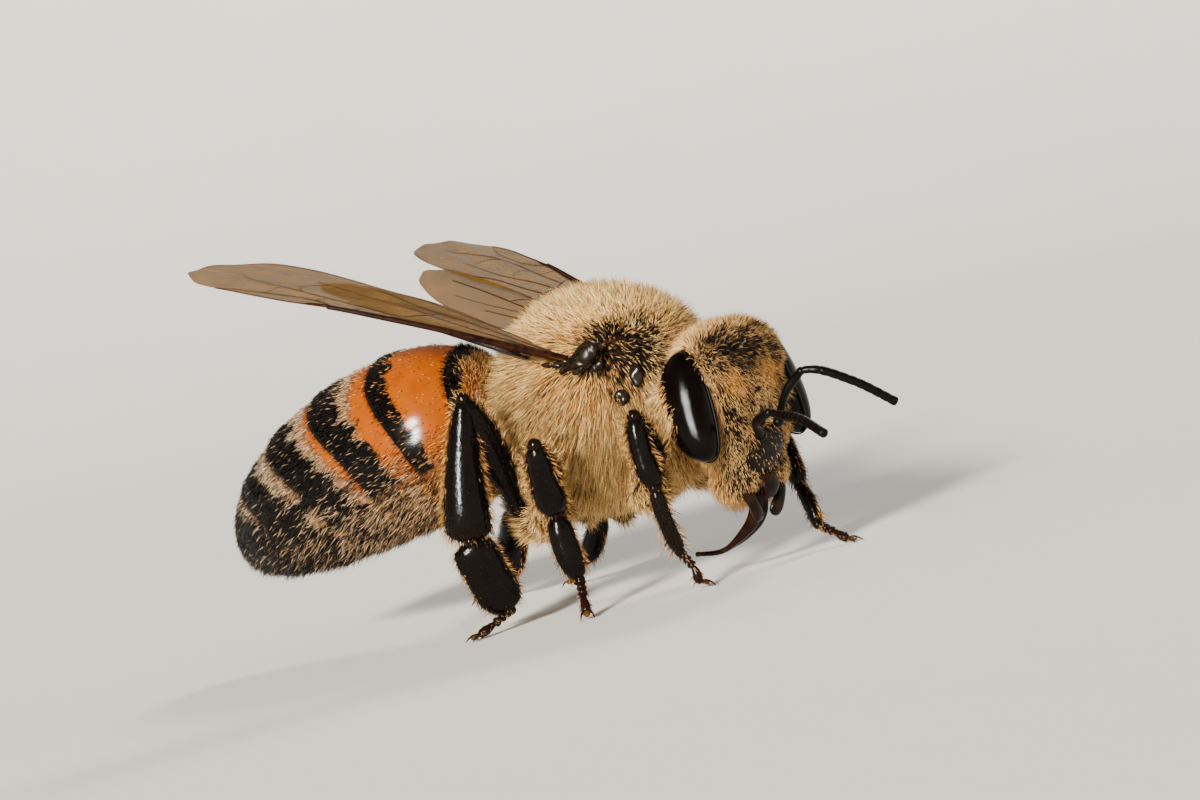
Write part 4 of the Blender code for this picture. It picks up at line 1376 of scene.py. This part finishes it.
# Full width and thickness along each kind of segment.
SEGMENT_SHAPES = {
    "coxa": ((0, 0.55, 0.5), (0.2, 0.85, 0.78), (0.6, 0.88, 0.8), (0.9, 0.6, 0.55), (1, 0.42, 0.42)),
    "fore_femur": ((0, 0.36, 0.34), (0.1, 0.42, 0.4), (0.17, 0.34, 0.32),
                   (0.45, 0.68, 0.58), (0.8, 0.6, 0.52), (1, 0.36, 0.34)),
    "fore_tibia": ((0, 0.26, 0.26), (0.12, 0.4, 0.38), (0.5, 0.5, 0.44),
                   (0.85, 0.5, 0.44), (1, 0.34, 0.32)),
    "fore_basitarsus": ((0, 0.26, 0.26), (0.15, 0.34, 0.32), (0.6, 0.36, 0.32),
                        (0.9, 0.34, 0.3), (1, 0.26, 0.24)),
    "mid_femur": ((0, 0.38, 0.36), (0.1, 0.44, 0.42), (0.17, 0.36, 0.34),
                  (0.45, 0.7, 0.6), (0.8, 0.6, 0.54), (1, 0.38, 0.36)),
    "mid_tibia": ((0, 0.28, 0.28), (0.12, 0.46, 0.42), (0.5, 0.64, 0.52),
                  (0.85, 0.7, 0.54), (1, 0.48, 0.4)),
    "mid_basitarsus": ((0, 0.28, 0.28), (0.12, 0.5, 0.4), (0.45, 0.64, 0.44),
                       (0.85, 0.52, 0.38), (1, 0.3, 0.26)),
    "hind_femur": ((0, 0.4, 0.38), (0.1, 0.46, 0.44), (0.17, 0.38, 0.36),
                   (0.45, 0.76, 0.6), (0.8, 0.66, 0.54), (1, 0.42, 0.38)),
    "hind_tibia": ((0, 0.3, 0.3), (0.12, 0.52, 0.42), (0.45, 0.84, 0.54),
                   (0.84, 1.1, 0.66), (1, 1.06, 0.5)),
    "hind_basitarsus": ((0, 0.82, 0.38), (0.1, 1.0, 0.44), (0.45, 1.06, 0.46),
                        (0.86, 0.96, 0.42), (1, 0.6, 0.32)),
}


def leg_line(leg):
    """The joints of a leg, from hip to toe, and the middle of its foot."""
    near = np.array((0.0, 0.0, 4.0))
    joints = []
    for segment in SEGMENTS:
        start, middle, end = line_of(f"{leg}_{segment}", near)
        joints.append(start)
        near = end
    return joints + [end], middle


def leg_shape(bee, leg, which):
    """A whole leg: segments, joint skin, foot beads, claws and pad."""
    joints, foot = leg_line(leg)
    shape = Shape()
    pair = leg.split("_")[0]
    hand = math.copysign(1.0, joints[0][1])
    outward = np.array((LEG_OUTWARD[0], LEG_OUTWARD[1] * hand, 0.0))
    girth = bee.limbs.leg_girth
    for index, segment in enumerate(SEGMENTS[:-1]):
        kind = segment if segment == "coxa" else f"{pair}_{segment}"
        rows = np.array(SEGMENT_SHAPES[kind]) * (1.0, girth, girth)
        start, end = joints[index], joints[index + 1]
        bow = np.cross(unit(end - start), outward)
        ready = rounded(rows)
        share = ready[:, 0]
        path = (start + (end - start) * share[:, None] + bow * (0.05 * np.sin(share * math.pi))[:, None])
        points, faces, values = limb(
            path, ready[:, 1:], outward, SEGMENT_SIDES, SEGMENT_SQUARENESS)
        dress_leg(values, segment, pair, which, index)
        shape.add(points, faces, values)
    for index, size in ((2, 0.15), (3, 0.15), (4, 0.12)):
        shape.add(*ball(joints[index], size, 10, 14), red=0.2, grow=0.0)
    add_foot(bee, shape, joints[4], foot, joints[5], which)
    return shape


# Hair over a segment's faces against its edges: how dense, how long on each, how golden.
LEG_HAIR = {"coxa": (1.6, 0.34, 0.36, 0.15), "femur": (0.3, 0.14, 0.3, 0.45),
            "tibia": (0.06, 0.08, 0.24, 0.75), "basitarsus": (0.15, 0.06, 0.17, 0.8),
            "tarsus": (0.5, 0.07, 0.1, 0.8)}


def dress_leg(values, segment, pair, which, index):
    """Where a leg segment carries hair, how long it is and how red the shell."""
    along, edge = values["along"], values["edge"]
    density, short, long, gold = LEG_HAIR[segment]
    rim = step(0.86, 0.985, edge)
    if pair == "fore" and segment == "basitarsus":
        density, long = 0.8, 0.26
    comb = step(0.92, 0.98, along) * (segment == "tibia")
    values["grow"] = mix(density, 1.5, rim) + 3.0 * comb
    values["reach"] = mix(short, long, np.maximum(rim, comb))
    values["warm"] = np.full(len(along), gold)
    values["rim"] = np.maximum(rim, comb)
    values["pale"] = 0.1 * step(0.04, 0.0, along)
    brown = 0.12 * (pair == "fore" and segment == "basitarsus")
    values["red"] = brown + 0.35 * step(0.8, 1.0, along) * (segment != "femur")
    values["chart"] = np.column_stack((np.cos(values["angle"]), np.sin(values["angle"]),
                                       (index + along) / len(SEGMENTS)))
    values["which"] = float(which)


FOOT_POINTS = 60
FOOT_CUTS = (0, 9, 18, 27, 52)  # the points between which the foot's segments lie


def add_foot(bee, shape, heel, middle, toe, which):
    """Small foot segments from heel to toe, a pair of claws and the pad between."""
    girth = bee.limbs.foot_girth / MM
    line = smooth_path((heel, middle, toe), FOOT_POINTS)
    for index, (first, last) in enumerate(zip(FOOT_CUTS, FOOT_CUTS[1:])):
        long = last == FOOT_CUTS[-1]
        rows = ((0.0, 0.45, 0.45), (0.25, 0.72, 0.68), (0.75, 1.0, 0.92), (1.0, 0.74, 0.7))
        rows = np.array(rows) * (1.0, girth * (0.92 if long else 1.0 - 0.05 * index), girth)
        path = line[first:last + 1]
        ready = curve(rows, shares(len(path)))
        ready[[0, -1]] *= 0.35
        points, faces, values = limb(path, ready, UP, 14)
        dress_leg(values, "tarsus", "", which, 4)
        values["red"] = 0.35 + 0.25 * index / 3.0
        shape.add(points, faces, values)
    tip = line[FOOT_CUTS[-1]]
    ahead = unit((toe - heel) * (1.0, 1.0, 0.0))
    aside = np.cross(UP, ahead)
    reach = bee.limbs.claw / MM
    for hand in (-1.0, 1.0):
        path = np.array((tip, tip + ahead * 0.35 * reach + aside * hand * 0.25 * reach,
                         tip + ahead * 0.75 * reach + aside * hand * 0.42 * reach,
                         tip + ahead * reach + aside * hand * 0.5 * reach))
        path[1:, 2] = (tip[2] + 0.02, 0.75 * tip[2], 0.02)
        add_tube(shape, smooth_path(path, 14), np.linspace(0.09, 0.018, 14), UP, 10, red=1.0, grow=0.0)
    pad_path = smooth_path((tip, tip + ahead * 0.14 - UP * 0.02,
                            tip + ahead * 0.22 - UP * (tip[2] - 0.07)), 12)
    swell = np.sin(np.linspace(0.25, math.pi - 0.4, 12))
    add_tube(shape, pad_path, np.outer(swell, (0.17, 0.11)), UP, 12, pale=0.45, grow=0.0)
    for hand in (-1.0, 1.0):
        spur = smooth_path((heel + aside * 0.05 * hand,
                            heel + aside * 0.12 * hand + ahead * 0.1 - UP * 0.08), 6)
        add_tube(shape, spur, np.linspace(0.05, 0.012, 6), UP, 8, red=0.8, grow=0.0)


FEELER_RINGS = 11
FEELER_POINTS = 121


def feeler_mesh(bee, side):
    """Scape, pedicel and the ringed flagellum of one feeler, with its socket's collar."""
    girth = bee.limbs.feeler_girth / MM
    start, middle, end = line_of(f"scape_{side}", HEAD.centre)
    shape = Shape()
    rows = rounded(((0.0, 0.85, 0.85), (0.1, 0.95, 0.95), (0.3, 0.8, 0.8),
                    (0.8, 1.0, 1.0), (1.0, 0.8, 0.8))) * (1.0, girth, girth)
    base = start + unit(start - middle) * 0.05
    path = curve(np.column_stack(((0.0, 0.5, 1.0), (base, middle, end))), rows[:, 0])
    add_tube(shape, path, rows[:, 1:], UP, 14)
    shape.add(*ball(base, 0.12, 12, 16))
    shape.add(*ball(end, girth * 0.46, 12, 16))
    first, bend, last = line_of(f"flagellum_{side}", end)
    path = smooth_path((end + unit(end - middle) * 0.02, first + unit(bend - first) * 0.1,
                        bend, last), FEELER_POINTS)
    place = shares(FEELER_POINTS)
    notch = np.abs(np.sin(place * FEELER_RINGS * math.pi)) ** 0.35
    size = girth * (0.8 + 0.2 * step(0.0, 0.25, place)) * (0.84 + 0.16 * notch)
    size *= np.sqrt(np.clip(np.minimum(place, 1.0 - place) / 0.012, 0.06, 1.0))
    add_tube(shape, path, size, UP, 14)
    return shape.mesh(f"feeler_{side}")


# The left jaw's path in the head's axes, then its full width and thickness along it.
JAW = ((0.3, 0.52, -1.5), (0.46, 0.46, -2.0), (0.4, 0.2, -2.46))
JAW_SIZES = ((0.0, 0.46, 0.3), (0.25, 0.38, 0.26), (0.55, 0.27, 0.2), (0.85, 0.34, 0.16),
             (1.0, 0.26, 0.1))


def mandible_mesh(hand):
    """A spoon-ended jaw from under the cheek to the middle of the mouth."""
    path = HEAD.out(np.array(JAW) * (1.0, hand, 1.0))
    rows = rounded(JAW_SIZES)
    bent = curve(np.column_stack(((0.0, 0.5, 1.0), path)), rows[:, 0])
    return add_tube(Shape(), bent, rows[:, 1:], HEAD.front, 18, 2.3).mesh("mandible")


TONGUE_PATH = ((3.62, -0.42, 1.78), (3.46, -0.42, 1.2), (3.0, -0.4, 0.8),
               (2.42, -0.32, 0.56), (1.72, -0.2, 0.58))
TONGUE_POINTS, SHEATH_END, TONGUE_START = 90, 62, 30  # of the points along the path


def tongue_mesh():
    """Two sheaths side by side and the ringed, hairy tongue that comes out of them."""
    shape = Shape()
    line = smooth_path(TONGUE_PATH, TONGUE_POINTS)
    aside = HEAD.side
    for hand in (-1.0, 1.0):
        path = line[:SHEATH_END] + aside * 0.085 * hand
        place = shares(len(path))
        wide = curve(((0, 0.26, 0.34), (0.2, 0.25, 0.36), (0.6, 0.2, 0.24), (1, 0.05, 0.07)), place)
        add_tube(shape, path, wide[:, ::-1], aside, 14)
    path = line[TONGUE_START:]
    place = shares(len(path))
    size = 0.15 * (1.0 + 0.1 * np.sin(place * 150.0)) * (1.0 - 0.35 * place)
    size = np.where(place > 0.94, size * 1.15, size)
    size[[0, -1]] *= 0.3
    add_tube(shape, path, size, aside, 12)
    flap = smooth_path(HEAD.out(((0.62, 0.0, -1.48), (0.66, 0.0, -1.78), (0.6, 0.0, -2.02))), 14)
    swell = np.sin(np.linspace(0.5, math.pi - 0.5, 14))
    add_tube(shape, flap, np.outer(swell, (0.1, 0.5)), aside, 18, 2.4)
    return shape.mesh("tongue")


SIMPLE_EYES = ((0.3, 0.0, 1.62), (0.02, 0.3, 1.74), (0.02, -0.3, 1.74))  # in the head's axes


def simple_eye_mesh():
    """Three glossy beads on the crown."""
    shape = Shape()
    for place in SIMPLE_EYES:
        shape.add(*ball(HEAD.out(place), (0.13, 0.13, 0.11), 12, 18))
    return shape.mesh("simple_eyes")


def waist_mesh():
    """The narrow ringed waist between thorax and abdomen."""
    centre = waist_point()
    path = smooth_path((centre + (0.75, 0.0, 0.0), centre, centre + (-0.55, 0.0, -0.05)), 40)
    place = shares(40)
    size = 0.62 + 0.3 * np.abs(place - 0.5) + 0.035 * np.sin(place * 34.0)
    return add_tube(Shape(), path, np.outer(size, (1.0, 0.9)), UP, 20).mesh("waist")


# --- coat ---

MOST_TRIANGLES = 200_000
# Where a hair's tip, middle and root points lie in its patch of the map.
PATCH = np.array((0.0, *(0.0007,) * 3, *(0.0015,) * 3))
# Each kind of coat: its slot, and the colours of its pale and its golden hairs.
COATS = {
    "thorax": ("thorax_coat", "hair_pale", "hair_gold"),
    "head": ("head_coat", "hair_face", "hair_gold"),
    "abdomen": ("tergite_dark", "hair_band", "hair_gold"),
    "leg": ("leg", "hair_pale", "hair_leg"),
}
FRONT_COAT_BEGINS = 0.6  # where the thorax's front and rear coats meet


def grown_area(mesh, grow):
    """The surface's area with each part counted by how densely hair grows there."""
    mesh.calc_loop_triangles()
    corners = np.empty(len(mesh.loop_triangles) * 3, np.int32)
    mesh.loop_triangles.foreach_get("vertices", corners)
    corners = corners.reshape(-1, 3)
    a, b, c = (points_of(mesh)[corners[:, index]] for index in range(3))
    areas = np.linalg.norm(np.cross(b - a, c - a), axis=1) / 2
    return float((areas * grow[corners].mean(1)).sum())


def coat_colours(mesh, pale, gold, dark, seed):
    """Each hair takes one colour from its root's values, darker towards the root as painted shade within
    the coat.
    """
    rng = np.random.default_rng(seed)
    hairs = len(mesh.vertices) // len(PATCH)
    chance = rng.random((hairs, 2)).repeat(len(PATCH), axis=0)
    warm, black, tone, rise = (read_values(mesh, label)[:, None]
                               for label in ("warm", "dark", "tone", "rise"))
    tint = mix(pale, gold, limit(warm + 0.35 * (chance[:, :1] - 0.5)))
    tint = mix(tint * (0.15 + 1.6 * tone), dark, (chance[:, 1:] < black) * 1.0)
    # Painted shade: each hair is darker towards its root, as if the coat's hairs shaded each other there.
    tint = tint * (0.1 + 0.9 * step(0.0, 0.65, rise))
    layer = mesh.attributes.new("coat_colour", "FLOAT_COLOR", "POINT")
    tint = np.column_stack((limit(tint), np.ones(len(tint))))
    layer.data.foreach_set("color", tint.astype(np.float32).ravel())


def lay_out(mesh, strips):
    """Give each hair a small patch of the map, where its root lies on the skin."""
    ahead, aside, place = read_values(mesh, "chart").T
    index = np.arange(len(place)) % len(PATCH)
    angle = (index - 1) / 3 * math.tau
    across = np.arctan2(aside, ahead) / math.tau + 0.5
    if strips > 1:
        across = (read_values(mesh, "which") + across) / strips
    spots = np.column_stack((across, place)) * 0.99 + 0.005
    spots += PATCH[index][:, None] * np.column_stack((np.cos(angle), np.sin(angle)))
    corners = np.empty(len(mesh.loops), np.int32)
    mesh.loops.foreach_get("vertex_index", corners)
    layer = mesh.uv_layers.new(name="OFBake")
    layer.data.foreach_set("uv", spots[corners].astype(np.float32).ravel())


def drop_except(mesh, *kept):
    """Leave only the named values of a mesh, beside its points."""
    spare = [layer.name for layer in mesh.attributes if layer.data_type in ("FLOAT", "FLOAT_VECTOR")]
    for label in spare:
        if label not in ("position", *kept):
            mesh.attributes.remove(mesh.attributes[label])


def add_coat(bee, kind, where, surface, chosen, seed, strips=1):
    """Hairs over the chosen points of a surface, as one finished piece."""
    name = f"{kind}_coat_{where}"
    slot, pale, gold = COATS[kind]
    mesh = surface.copy()
    grow = np.clip(read_values(mesh, "grow"), 0.0, None) * chosen
    keep_values(mesh, "grow", grow)
    coat, c = bee.coat, bee.colours
    mesh = evaluated(mesh, ("NODES", {
        "node_group": hair_tree(),
        "Density": getattr(coat, f"{kind}_hairs") / grown_area(mesh, grow),
        "Thickness": getattr(coat, f"{kind}_thickness") / MM, "Wildness": coat.fluff,
        "Tuft size": coat.tuft_size / MM, "Tuft pull": coat.tuft_pull, "Seed": seed,
        "Material": materials(bee)["coat"]}))
    mesh.calc_loop_triangles()
    if len(mesh.loop_triangles) >= MOST_TRIANGLES:
        raise ValueError(f"{name} has {len(mesh.loop_triangles)} triangles")
    coat_colours(mesh, getattr(c, pale), getattr(c, gold), c.hair_dark, seed)
    lay_out(mesh, strips)
    drop_except(mesh)
    finish_piece(bee, name, mesh, "coat", slot)


def surface_of(*names):
    """Copies of finished pieces as one surface in the bee's frame."""
    pieces = [bpy.data.objects.get(name) for name in names]
    if None in pieces:
        raise ValueError(f"make {', '.join(names)} first")
    shape = bmesh.new()
    for piece in pieces:
        shape.from_mesh(piece.data)
    mesh = bpy.data.meshes.new(f"{names[0]}_surface")
    shape.to_mesh(mesh)
    shape.free()
    mesh.transform(Matrix.Scale(1 / MM, 4) @ Matrix.Translation(-SHIFT * MM))
    return mesh


def abdomen_surface(bee):
    """The plates' outer faces all round, with the lie of their hairs."""
    turns = np.linspace(-1.0, 1.0, 97)
    shape = Shape()
    for number in range(1, len(RING_EDGES)):
        shape.add(*plate_grid(bee, number, turns, GROWTH_ROWS, 0.0))
    mesh = shape.mesh("abdomen_surface", outward=False)
    face_out(mesh, abdomen_line(np.array([0.5]))[0][0])
    normals, chart = normals_of(mesh), read_values(mesh, "chart")
    low = np.abs(np.arctan2(chart[:, 1], chart[:, 0])) / math.pi
    set_points(mesh, points_of(mesh) - normals * BELLY_SINK * step(0.6, 0.66, low)[:, None])
    lie = (flow(normals, read_values(mesh, "course")) * 0.9
           + normals * read_values(mesh, "upright")[:, None])
    keep_values(mesh, "lie", unit(lie))
    keep_values(mesh, "fall", flow(normals, -UP) * 0.18 - normals * 0.12)
    keep_values(mesh, "warm", read_values(mesh, "gold"))
    return mesh


def leg_surface(legs):
    """The shells of several legs, with the lie of their hairs."""
    mesh = surface_of(*(f"leg_{leg}" for leg in legs))
    normals, rim = normals_of(mesh), read_values(mesh, "rim")[:, None]
    warm = read_values(mesh, "warm")
    keep_values(mesh, "lie", unit(read_values(mesh, "course") * (0.95 - 0.3 * rim)
                                  + normals * (0.35 + 0.5 * rim)))
    keep_values(mesh, "fall", read_values(mesh, "course") * 0.15)
    keep_values(mesh, "dark", (0.12 + 0.88 * (1.0 - rim[:, 0])) * step(0.2, 0.4, warm))
    return mesh


# --- stage ---

FLOOR_FLAT = 110.0  # radius of the flat floor, before it curves up all round
FLOOR_BEND = 420.0  # radius of the curve up
FLOOR_RISE = math.radians(40.0)
FLAT_RINGS, BEND_RINGS, FLOOR_SIDES = 20, 24, 96
LIGHT_FAR = 600.0  # how far off the lamps are drawn
# Lights: the way to them in the camera's right, up and back; spread in degrees; tint.
LIGHTS = {
    "key": ((-0.46, 0.22, 0.86), 10.0, (1.0, 0.94, 0.83)),
    "fill": ((0.8, 0.35, 0.6), 70.0, (0.92, 0.96, 1.0)),
    "rim": ((0.25, 0.72, -0.6), 14.0, (1.0, 0.97, 0.92)),
}


def add_floor(bee):
    """A pale round floor that curves up into a wall all round."""
    bend = np.linspace(0.0, FLOOR_RISE, BEND_RINGS)
    reach = np.concatenate((np.linspace(0.5, FLOOR_FLAT, FLAT_RINGS),
                            FLOOR_FLAT + FLOOR_BEND * np.sin(bend)[1:]))
    height = np.concatenate((np.zeros(FLAT_RINGS), FLOOR_BEND * (1.0 - np.cos(bend))[1:]))
    angle = np.arange(FLOOR_SIDES) / FLOOR_SIDES * math.tau
    rings = np.stack(np.broadcast_arrays(
        reach[:, None] * np.cos(angle), reach[:, None] * np.sin(angle), height[:, None]), -1)
    points, faces = closed_loft(rings)
    faces = [face for face in faces if len(points) - 1 not in face]
    mesh = Shape().add(points[:-1], faces).mesh("studio_floor", outward=False)
    floor = set_out("studio_floor", mesh, floor_material(bee.colours))


LOOK_FROM_THORAX = (-0.273, 0.087, -0.029)  # the camera's aim from the thorax's middle
SENSOR_WIDTH = 36.0  # in millimetres, as a camera's lens is
NEAREST, FARTHEST = 0.001, 10.0  # what the camera sees, in metres
SKY_TINT = (0.98, 0.98, 1.0, 1.0)


def camera_turn(studio):
    """The camera's right, up and back ways."""
    azimuth, elevation, roll = studio.azimuth, studio.elevation, studio.roll
    back = np.array((math.sin(azimuth) * math.cos(elevation),
                     -math.cos(azimuth) * math.cos(elevation), math.sin(elevation)))
    level = np.array((math.cos(azimuth), math.sin(azimuth), 0.0))
    over = np.cross(back, level)
    right = level * math.cos(roll) - over * math.sin(roll)
    return right, over * math.cos(roll) + level * math.sin(roll), back


def place_facing(name, data, place, turn):
    """Stand a camera or lamp at a place in the bee's frame, looking against its third way."""
    thing = add_object(name, data)
    matrix = Matrix(np.array(turn).T.tolist()).to_4x4()
    matrix.translation = ((place + SHIFT) * MM).tolist()
    thing.matrix_world = matrix
    return thing


def place_lamp(lamp, aim, turn, way, far, top):
    """Stand a lamp so far from its aim, on a way in the camera's right, up and back."""
    back = unit(np.array(way) @ np.array(turn))
    right = unit(np.cross(top, back))
    return place_facing(lamp.name, lamp, aim + back * far, (right, np.cross(back, right), back))


# The strip light: the way to it in the camera's right, up and back, how far off it
# stands, and its width and height. It only makes highlights on glossy shell.
STRIP_WAY, STRIP_FAR, STRIP_SIZE = (-0.43, -0.06, 0.9), 60.0, (5.0, 16.0)


def add_strip(studio, aim, turn):
    """A tall narrow lamp beside the camera that draws highlights along the legs."""
    lamp = bpy.data.lights.new("strip_light", "AREA")
    lamp.shape, lamp.size, lamp.size_y = "RECTANGLE", *(side * MM for side in STRIP_SIZE)
    lamp.energy = studio.strip_power
    strip = place_lamp(lamp, aim, turn, STRIP_WAY, STRIP_FAR, turn[1])
    strip.visible_camera = strip.visible_diffuse = False


def add_camera_and_lights(studio):
    """The camera, the lights that turn with it and a pale sky."""
    low, high = corners_of(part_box("thorax"))
    aim = (low + high) / 2 + np.array(LOOK_FROM_THORAX)
    turn = camera_turn(studio)
    camera = bpy.data.cameras.new("camera")
    camera.lens, camera.sensor_width = studio.lens, SENSOR_WIDTH
    camera.clip_start, camera.clip_end = NEAREST, FARTHEST
    bpy.context.scene.camera = place_facing("camera", camera, aim + turn[2] * (studio.distance / MM), turn)
    for name, (way, spread, tint) in LIGHTS.items():
        lamp = bpy.data.lights.new(f"{name}_light", "SUN")
        lamp.angle, lamp.color = math.radians(spread), tint
        lamp.energy = getattr(studio, f"{name}_strength")
        place_lamp(lamp, aim, turn, way, LIGHT_FAR, UP)
    add_strip(studio, aim, turn)
    world = bpy.data.worlds.new("pale_sky")
    world.use_nodes = True
    sky = world.node_tree.nodes["Background"]
    sky.inputs["Color"].default_value = SKY_TINT
    sky.inputs["Strength"].default_value = studio.sky
    bpy.context.scene.world = world


# --- operators ---


class BEE_OT_skin(bpy.types.Operator):
    """Make the skin of head and thorax"""

    bl_idname = "honey_bee.skin"
    bl_label = "Skin"

    def execute(self, context):
        bee = context.scene.honey_bee
        finish_piece(bee, "body_skin", body_skin(bee), "skin", "thorax_coat", "thorax", "head")
        return {"FINISHED"}


class BEE_OT_eyes(bpy.types.Operator):
    """Make the two eyes with their facets and the three simple eyes"""

    bl_idname = "honey_bee.eyes"
    bl_label = "Eyes"

    def execute(self, context):
        bee = context.scene.honey_bee
        for side, hand in SIDES:
            finish_piece(bee, f"eye_lens_{side}", eye_mesh(bee, side, hand), "eye", "eye", f"eye_{side}")
            finish_piece(bee, f"eye_rim_{side}", eye_rim_mesh(side, hand), "feeler", "eye")
        finish_piece(bee, "simple_eyes", simple_eye_mesh(), "eye", "eye")
        return {"FINISHED"}


class BEE_OT_abdomen(bpy.types.Operator):
    """Make the abdomen's plates and the waist"""

    bl_idname = "honey_bee.abdomen"
    bl_label = "Abdomen"

    def execute(self, context):
        bee = context.scene.honey_bee
        back = np.linspace(-BACK_WRAP, BACK_WRAP, 73)
        for number in range(1, len(RING_EDGES)):
            slot = "tergite_orange" if number < 4 else "tergite_dark"
            mesh = plate_mesh(bee, number, back, 24, 0.0)
            finish_piece(bee, f"tergite_{number}", mesh, "tergite", slot, f"abdomen_{number}")
            if number > 1:
                mesh = plate_mesh(bee, number, belly_turns(37), 16, -BELLY_SINK)
                finish_piece(bee, f"sternite_{number}", mesh, "tergite", slot)
        finish_piece(bee, "abdomen_lining", lining_mesh(bee), "sclerite", "tergite_dark")
        finish_piece(bee, "waist_ring", waist_mesh(), "waist", "waist", "petiole")
        return {"FINISHED"}


class BEE_OT_wings(bpy.types.Operator):
    """Make the wings' films and veins, and the plates at their base"""

    bl_idname = "honey_bee.wings"
    bl_label = "Wings"

    def execute(self, context):
        bee = context.scene.honey_bee
        tree = vein_tree()
        for name in WINGS:
            kind = name.split("_")[0]
            chord = getattr(bee.wings, f"{kind}_chord") / MM
            edges, veins = WING_KINDS[kind]
            film = film_mesh(bee, name, chord, edges)
            finish_piece(bee, f"film_{name}", film, "film", "wing", name)
            mesh = vein_mesh(bee, name, chord, veins, tree)
            finish_piece(bee, f"veins_{name}", mesh, "vein", "wing")
        for side, hand in SIDES:
            hinges, scale = hinge_mesh(side, hand), tegula_mesh(side, hand)
            finish_piece(bee, f"wing_hinges_{side}", hinges, "sclerite", "wing_base")
            finish_piece(bee, f"wing_scale_{side}", scale, "sclerite", "wing_base", f"tegula_{side}")
        return {"FINISHED"}


class BEE_OT_pronotum(bpy.types.Operator):
    """Make the bare shell plates between the wing bases and the head"""

    bl_idname = "honey_bee.pronotum"
    bl_label = "Pronotum"

    def execute(self, context):
        bee = context.scene.honey_bee
        for side, hand in SIDES:
            shape = Shape()
            for centre, half in PRONOTUM:
                points, faces = ball(np.array(centre) * (1.0, hand, 1.0), half)
                shape.add(points + 0.03 * wobble(points, 0.3, 7)[:, None] * (0, hand, 0), faces)
            finish_piece(bee, f"pronotum_{side}", shape.mesh("pronotum"), "lobe", "wing_base")
        return {"FINISHED"}


class BEE_OT_legs(bpy.types.Operator):
    """Make the six legs with their feet and claws"""

    bl_idname = "honey_bee.legs"
    bl_label = "Legs"

    def execute(self, context):
        bee = context.scene.honey_bee
        for index, leg in enumerate(LEGS):
            mesh = leg_shape(bee, leg, index // 2).mesh(f"leg_{leg}")
            finish_piece(bee, f"leg_{leg}", mesh, "leg", "leg",
                         *(f"{leg}_{segment}" for segment in SEGMENTS))
        return {"FINISHED"}


class BEE_OT_mouth(bpy.types.Operator):
    """Make the feelers, jaws and tongue"""

    bl_idname = "honey_bee.mouth"
    bl_label = "Feelers and mouth"

    def execute(self, context):
        bee = context.scene.honey_bee
        for side, hand in SIDES:
            finish_piece(bee, f"feeler_{side}", feeler_mesh(bee, side), "feeler", "feeler",
                         f"scape_{side}", f"flagellum_{side}")
            finish_piece(bee, f"jaw_{side}", mandible_mesh(hand), "mouth", "mouthparts",
                         f"mandible_{side}")
        finish_piece(bee, "tongue", tongue_mesh(), "mouth", "mouthparts", "proboscis")
        return {"FINISHED"}


class BEE_OT_coat(bpy.types.Operator):
    """Make the coat of hairs over thorax, head, abdomen and legs"""

    bl_idname = "honey_bee.coat"
    bl_label = "Coat"

    def execute(self, context):
        bee = context.scene.honey_bee
        skin, abdomen = surface_of("body_skin"), abdomen_surface(bee)
        points, head = points_of(skin), read_values(skin, "head") >= 0.5
        seed = 1
        for side, hand in SIDES:
            for end, way in (("front", 1.0), ("rear", -1.0)):
                quarter = ((points[:, 1] * hand >= 0) & ~head
                           & ((points[:, 0] - FRONT_COAT_BEGINS) * way >= 0))
                add_coat(bee, "thorax", f"{end}_{side}", skin, quarter, seed)
                seed += 1
            half_head = (HEAD.into(points)[:, 1] * hand >= 0) & head
            add_coat(bee, "head", side, skin, half_head, seed)
            half = points_of(abdomen)[:, 1] * hand >= 0
            add_coat(bee, "abdomen", side, abdomen, half, seed + 1)
            legs = [leg for leg in LEGS if leg.endswith(side)]
            shells = leg_surface(legs)
            every = np.ones(len(shells.vertices))
            add_coat(bee, "leg", side, shells, every, seed + 2, len(legs))
            seed += 3
        return {"FINISHED"}


class BEE_OT_stage(bpy.types.Operator):
    """Make the floor, the lights and the camera"""

    bl_idname = "honey_bee.stage"
    bl_label = "Stage"

    def execute(self, context):
        bee = context.scene.honey_bee
        add_floor(bee)
        add_camera_and_lights(bee.studio)
        return {"FINISHED"}


OPERATORS = (BEE_OT_skin, BEE_OT_eyes, BEE_OT_abdomen, BEE_OT_wings, BEE_OT_pronotum,
             BEE_OT_legs, BEE_OT_mouth, BEE_OT_coat, BEE_OT_stage)


class BEE_PT_panel(bpy.types.Panel):
    """Lists the bee's operators and sizes"""

    bl_idname = "BEE_PT_panel"
    bl_label = "Honey bee"
    bl_space_type = "VIEW_3D"
    bl_region_type = "UI"
    bl_category = "Honey bee"

    def draw(self, context):
        for operator in OPERATORS:
            self.layout.operator(operator.bl_idname)
        bee = context.scene.honey_bee
        for group in (bee.body, bee.coat, bee.wings, bee.limbs, bee.colours, bee.studio):
            box = self.layout.box()
            box.label(text=type(group).__doc__)
            for label in type(group).__annotations__:
                box.prop(group, label)


CLASSES = (BodySizes, CoatSizes, WingSizes, LimbSizes, Colours, StudioSizes, HoneyBee,
           *OPERATORS, BEE_PT_panel)


def register():
    for kind in CLASSES:
        bpy.utils.register_class(kind)
    bpy.types.Scene.honey_bee = PointerProperty(type=HoneyBee)


def unregister():
    del bpy.types.Scene.honey_bee
    for kind in reversed(CLASSES):
        bpy.utils.unregister_class(kind)


def main():
    register()
    for operator in OPERATORS:
        group, name = operator.bl_idname.split(".")
        if getattr(getattr(bpy.ops, group), name)() != {"FINISHED"}:
            raise RuntimeError(f"{operator.bl_idname} didn't finish")


if __name__ == "__main__":
    main()
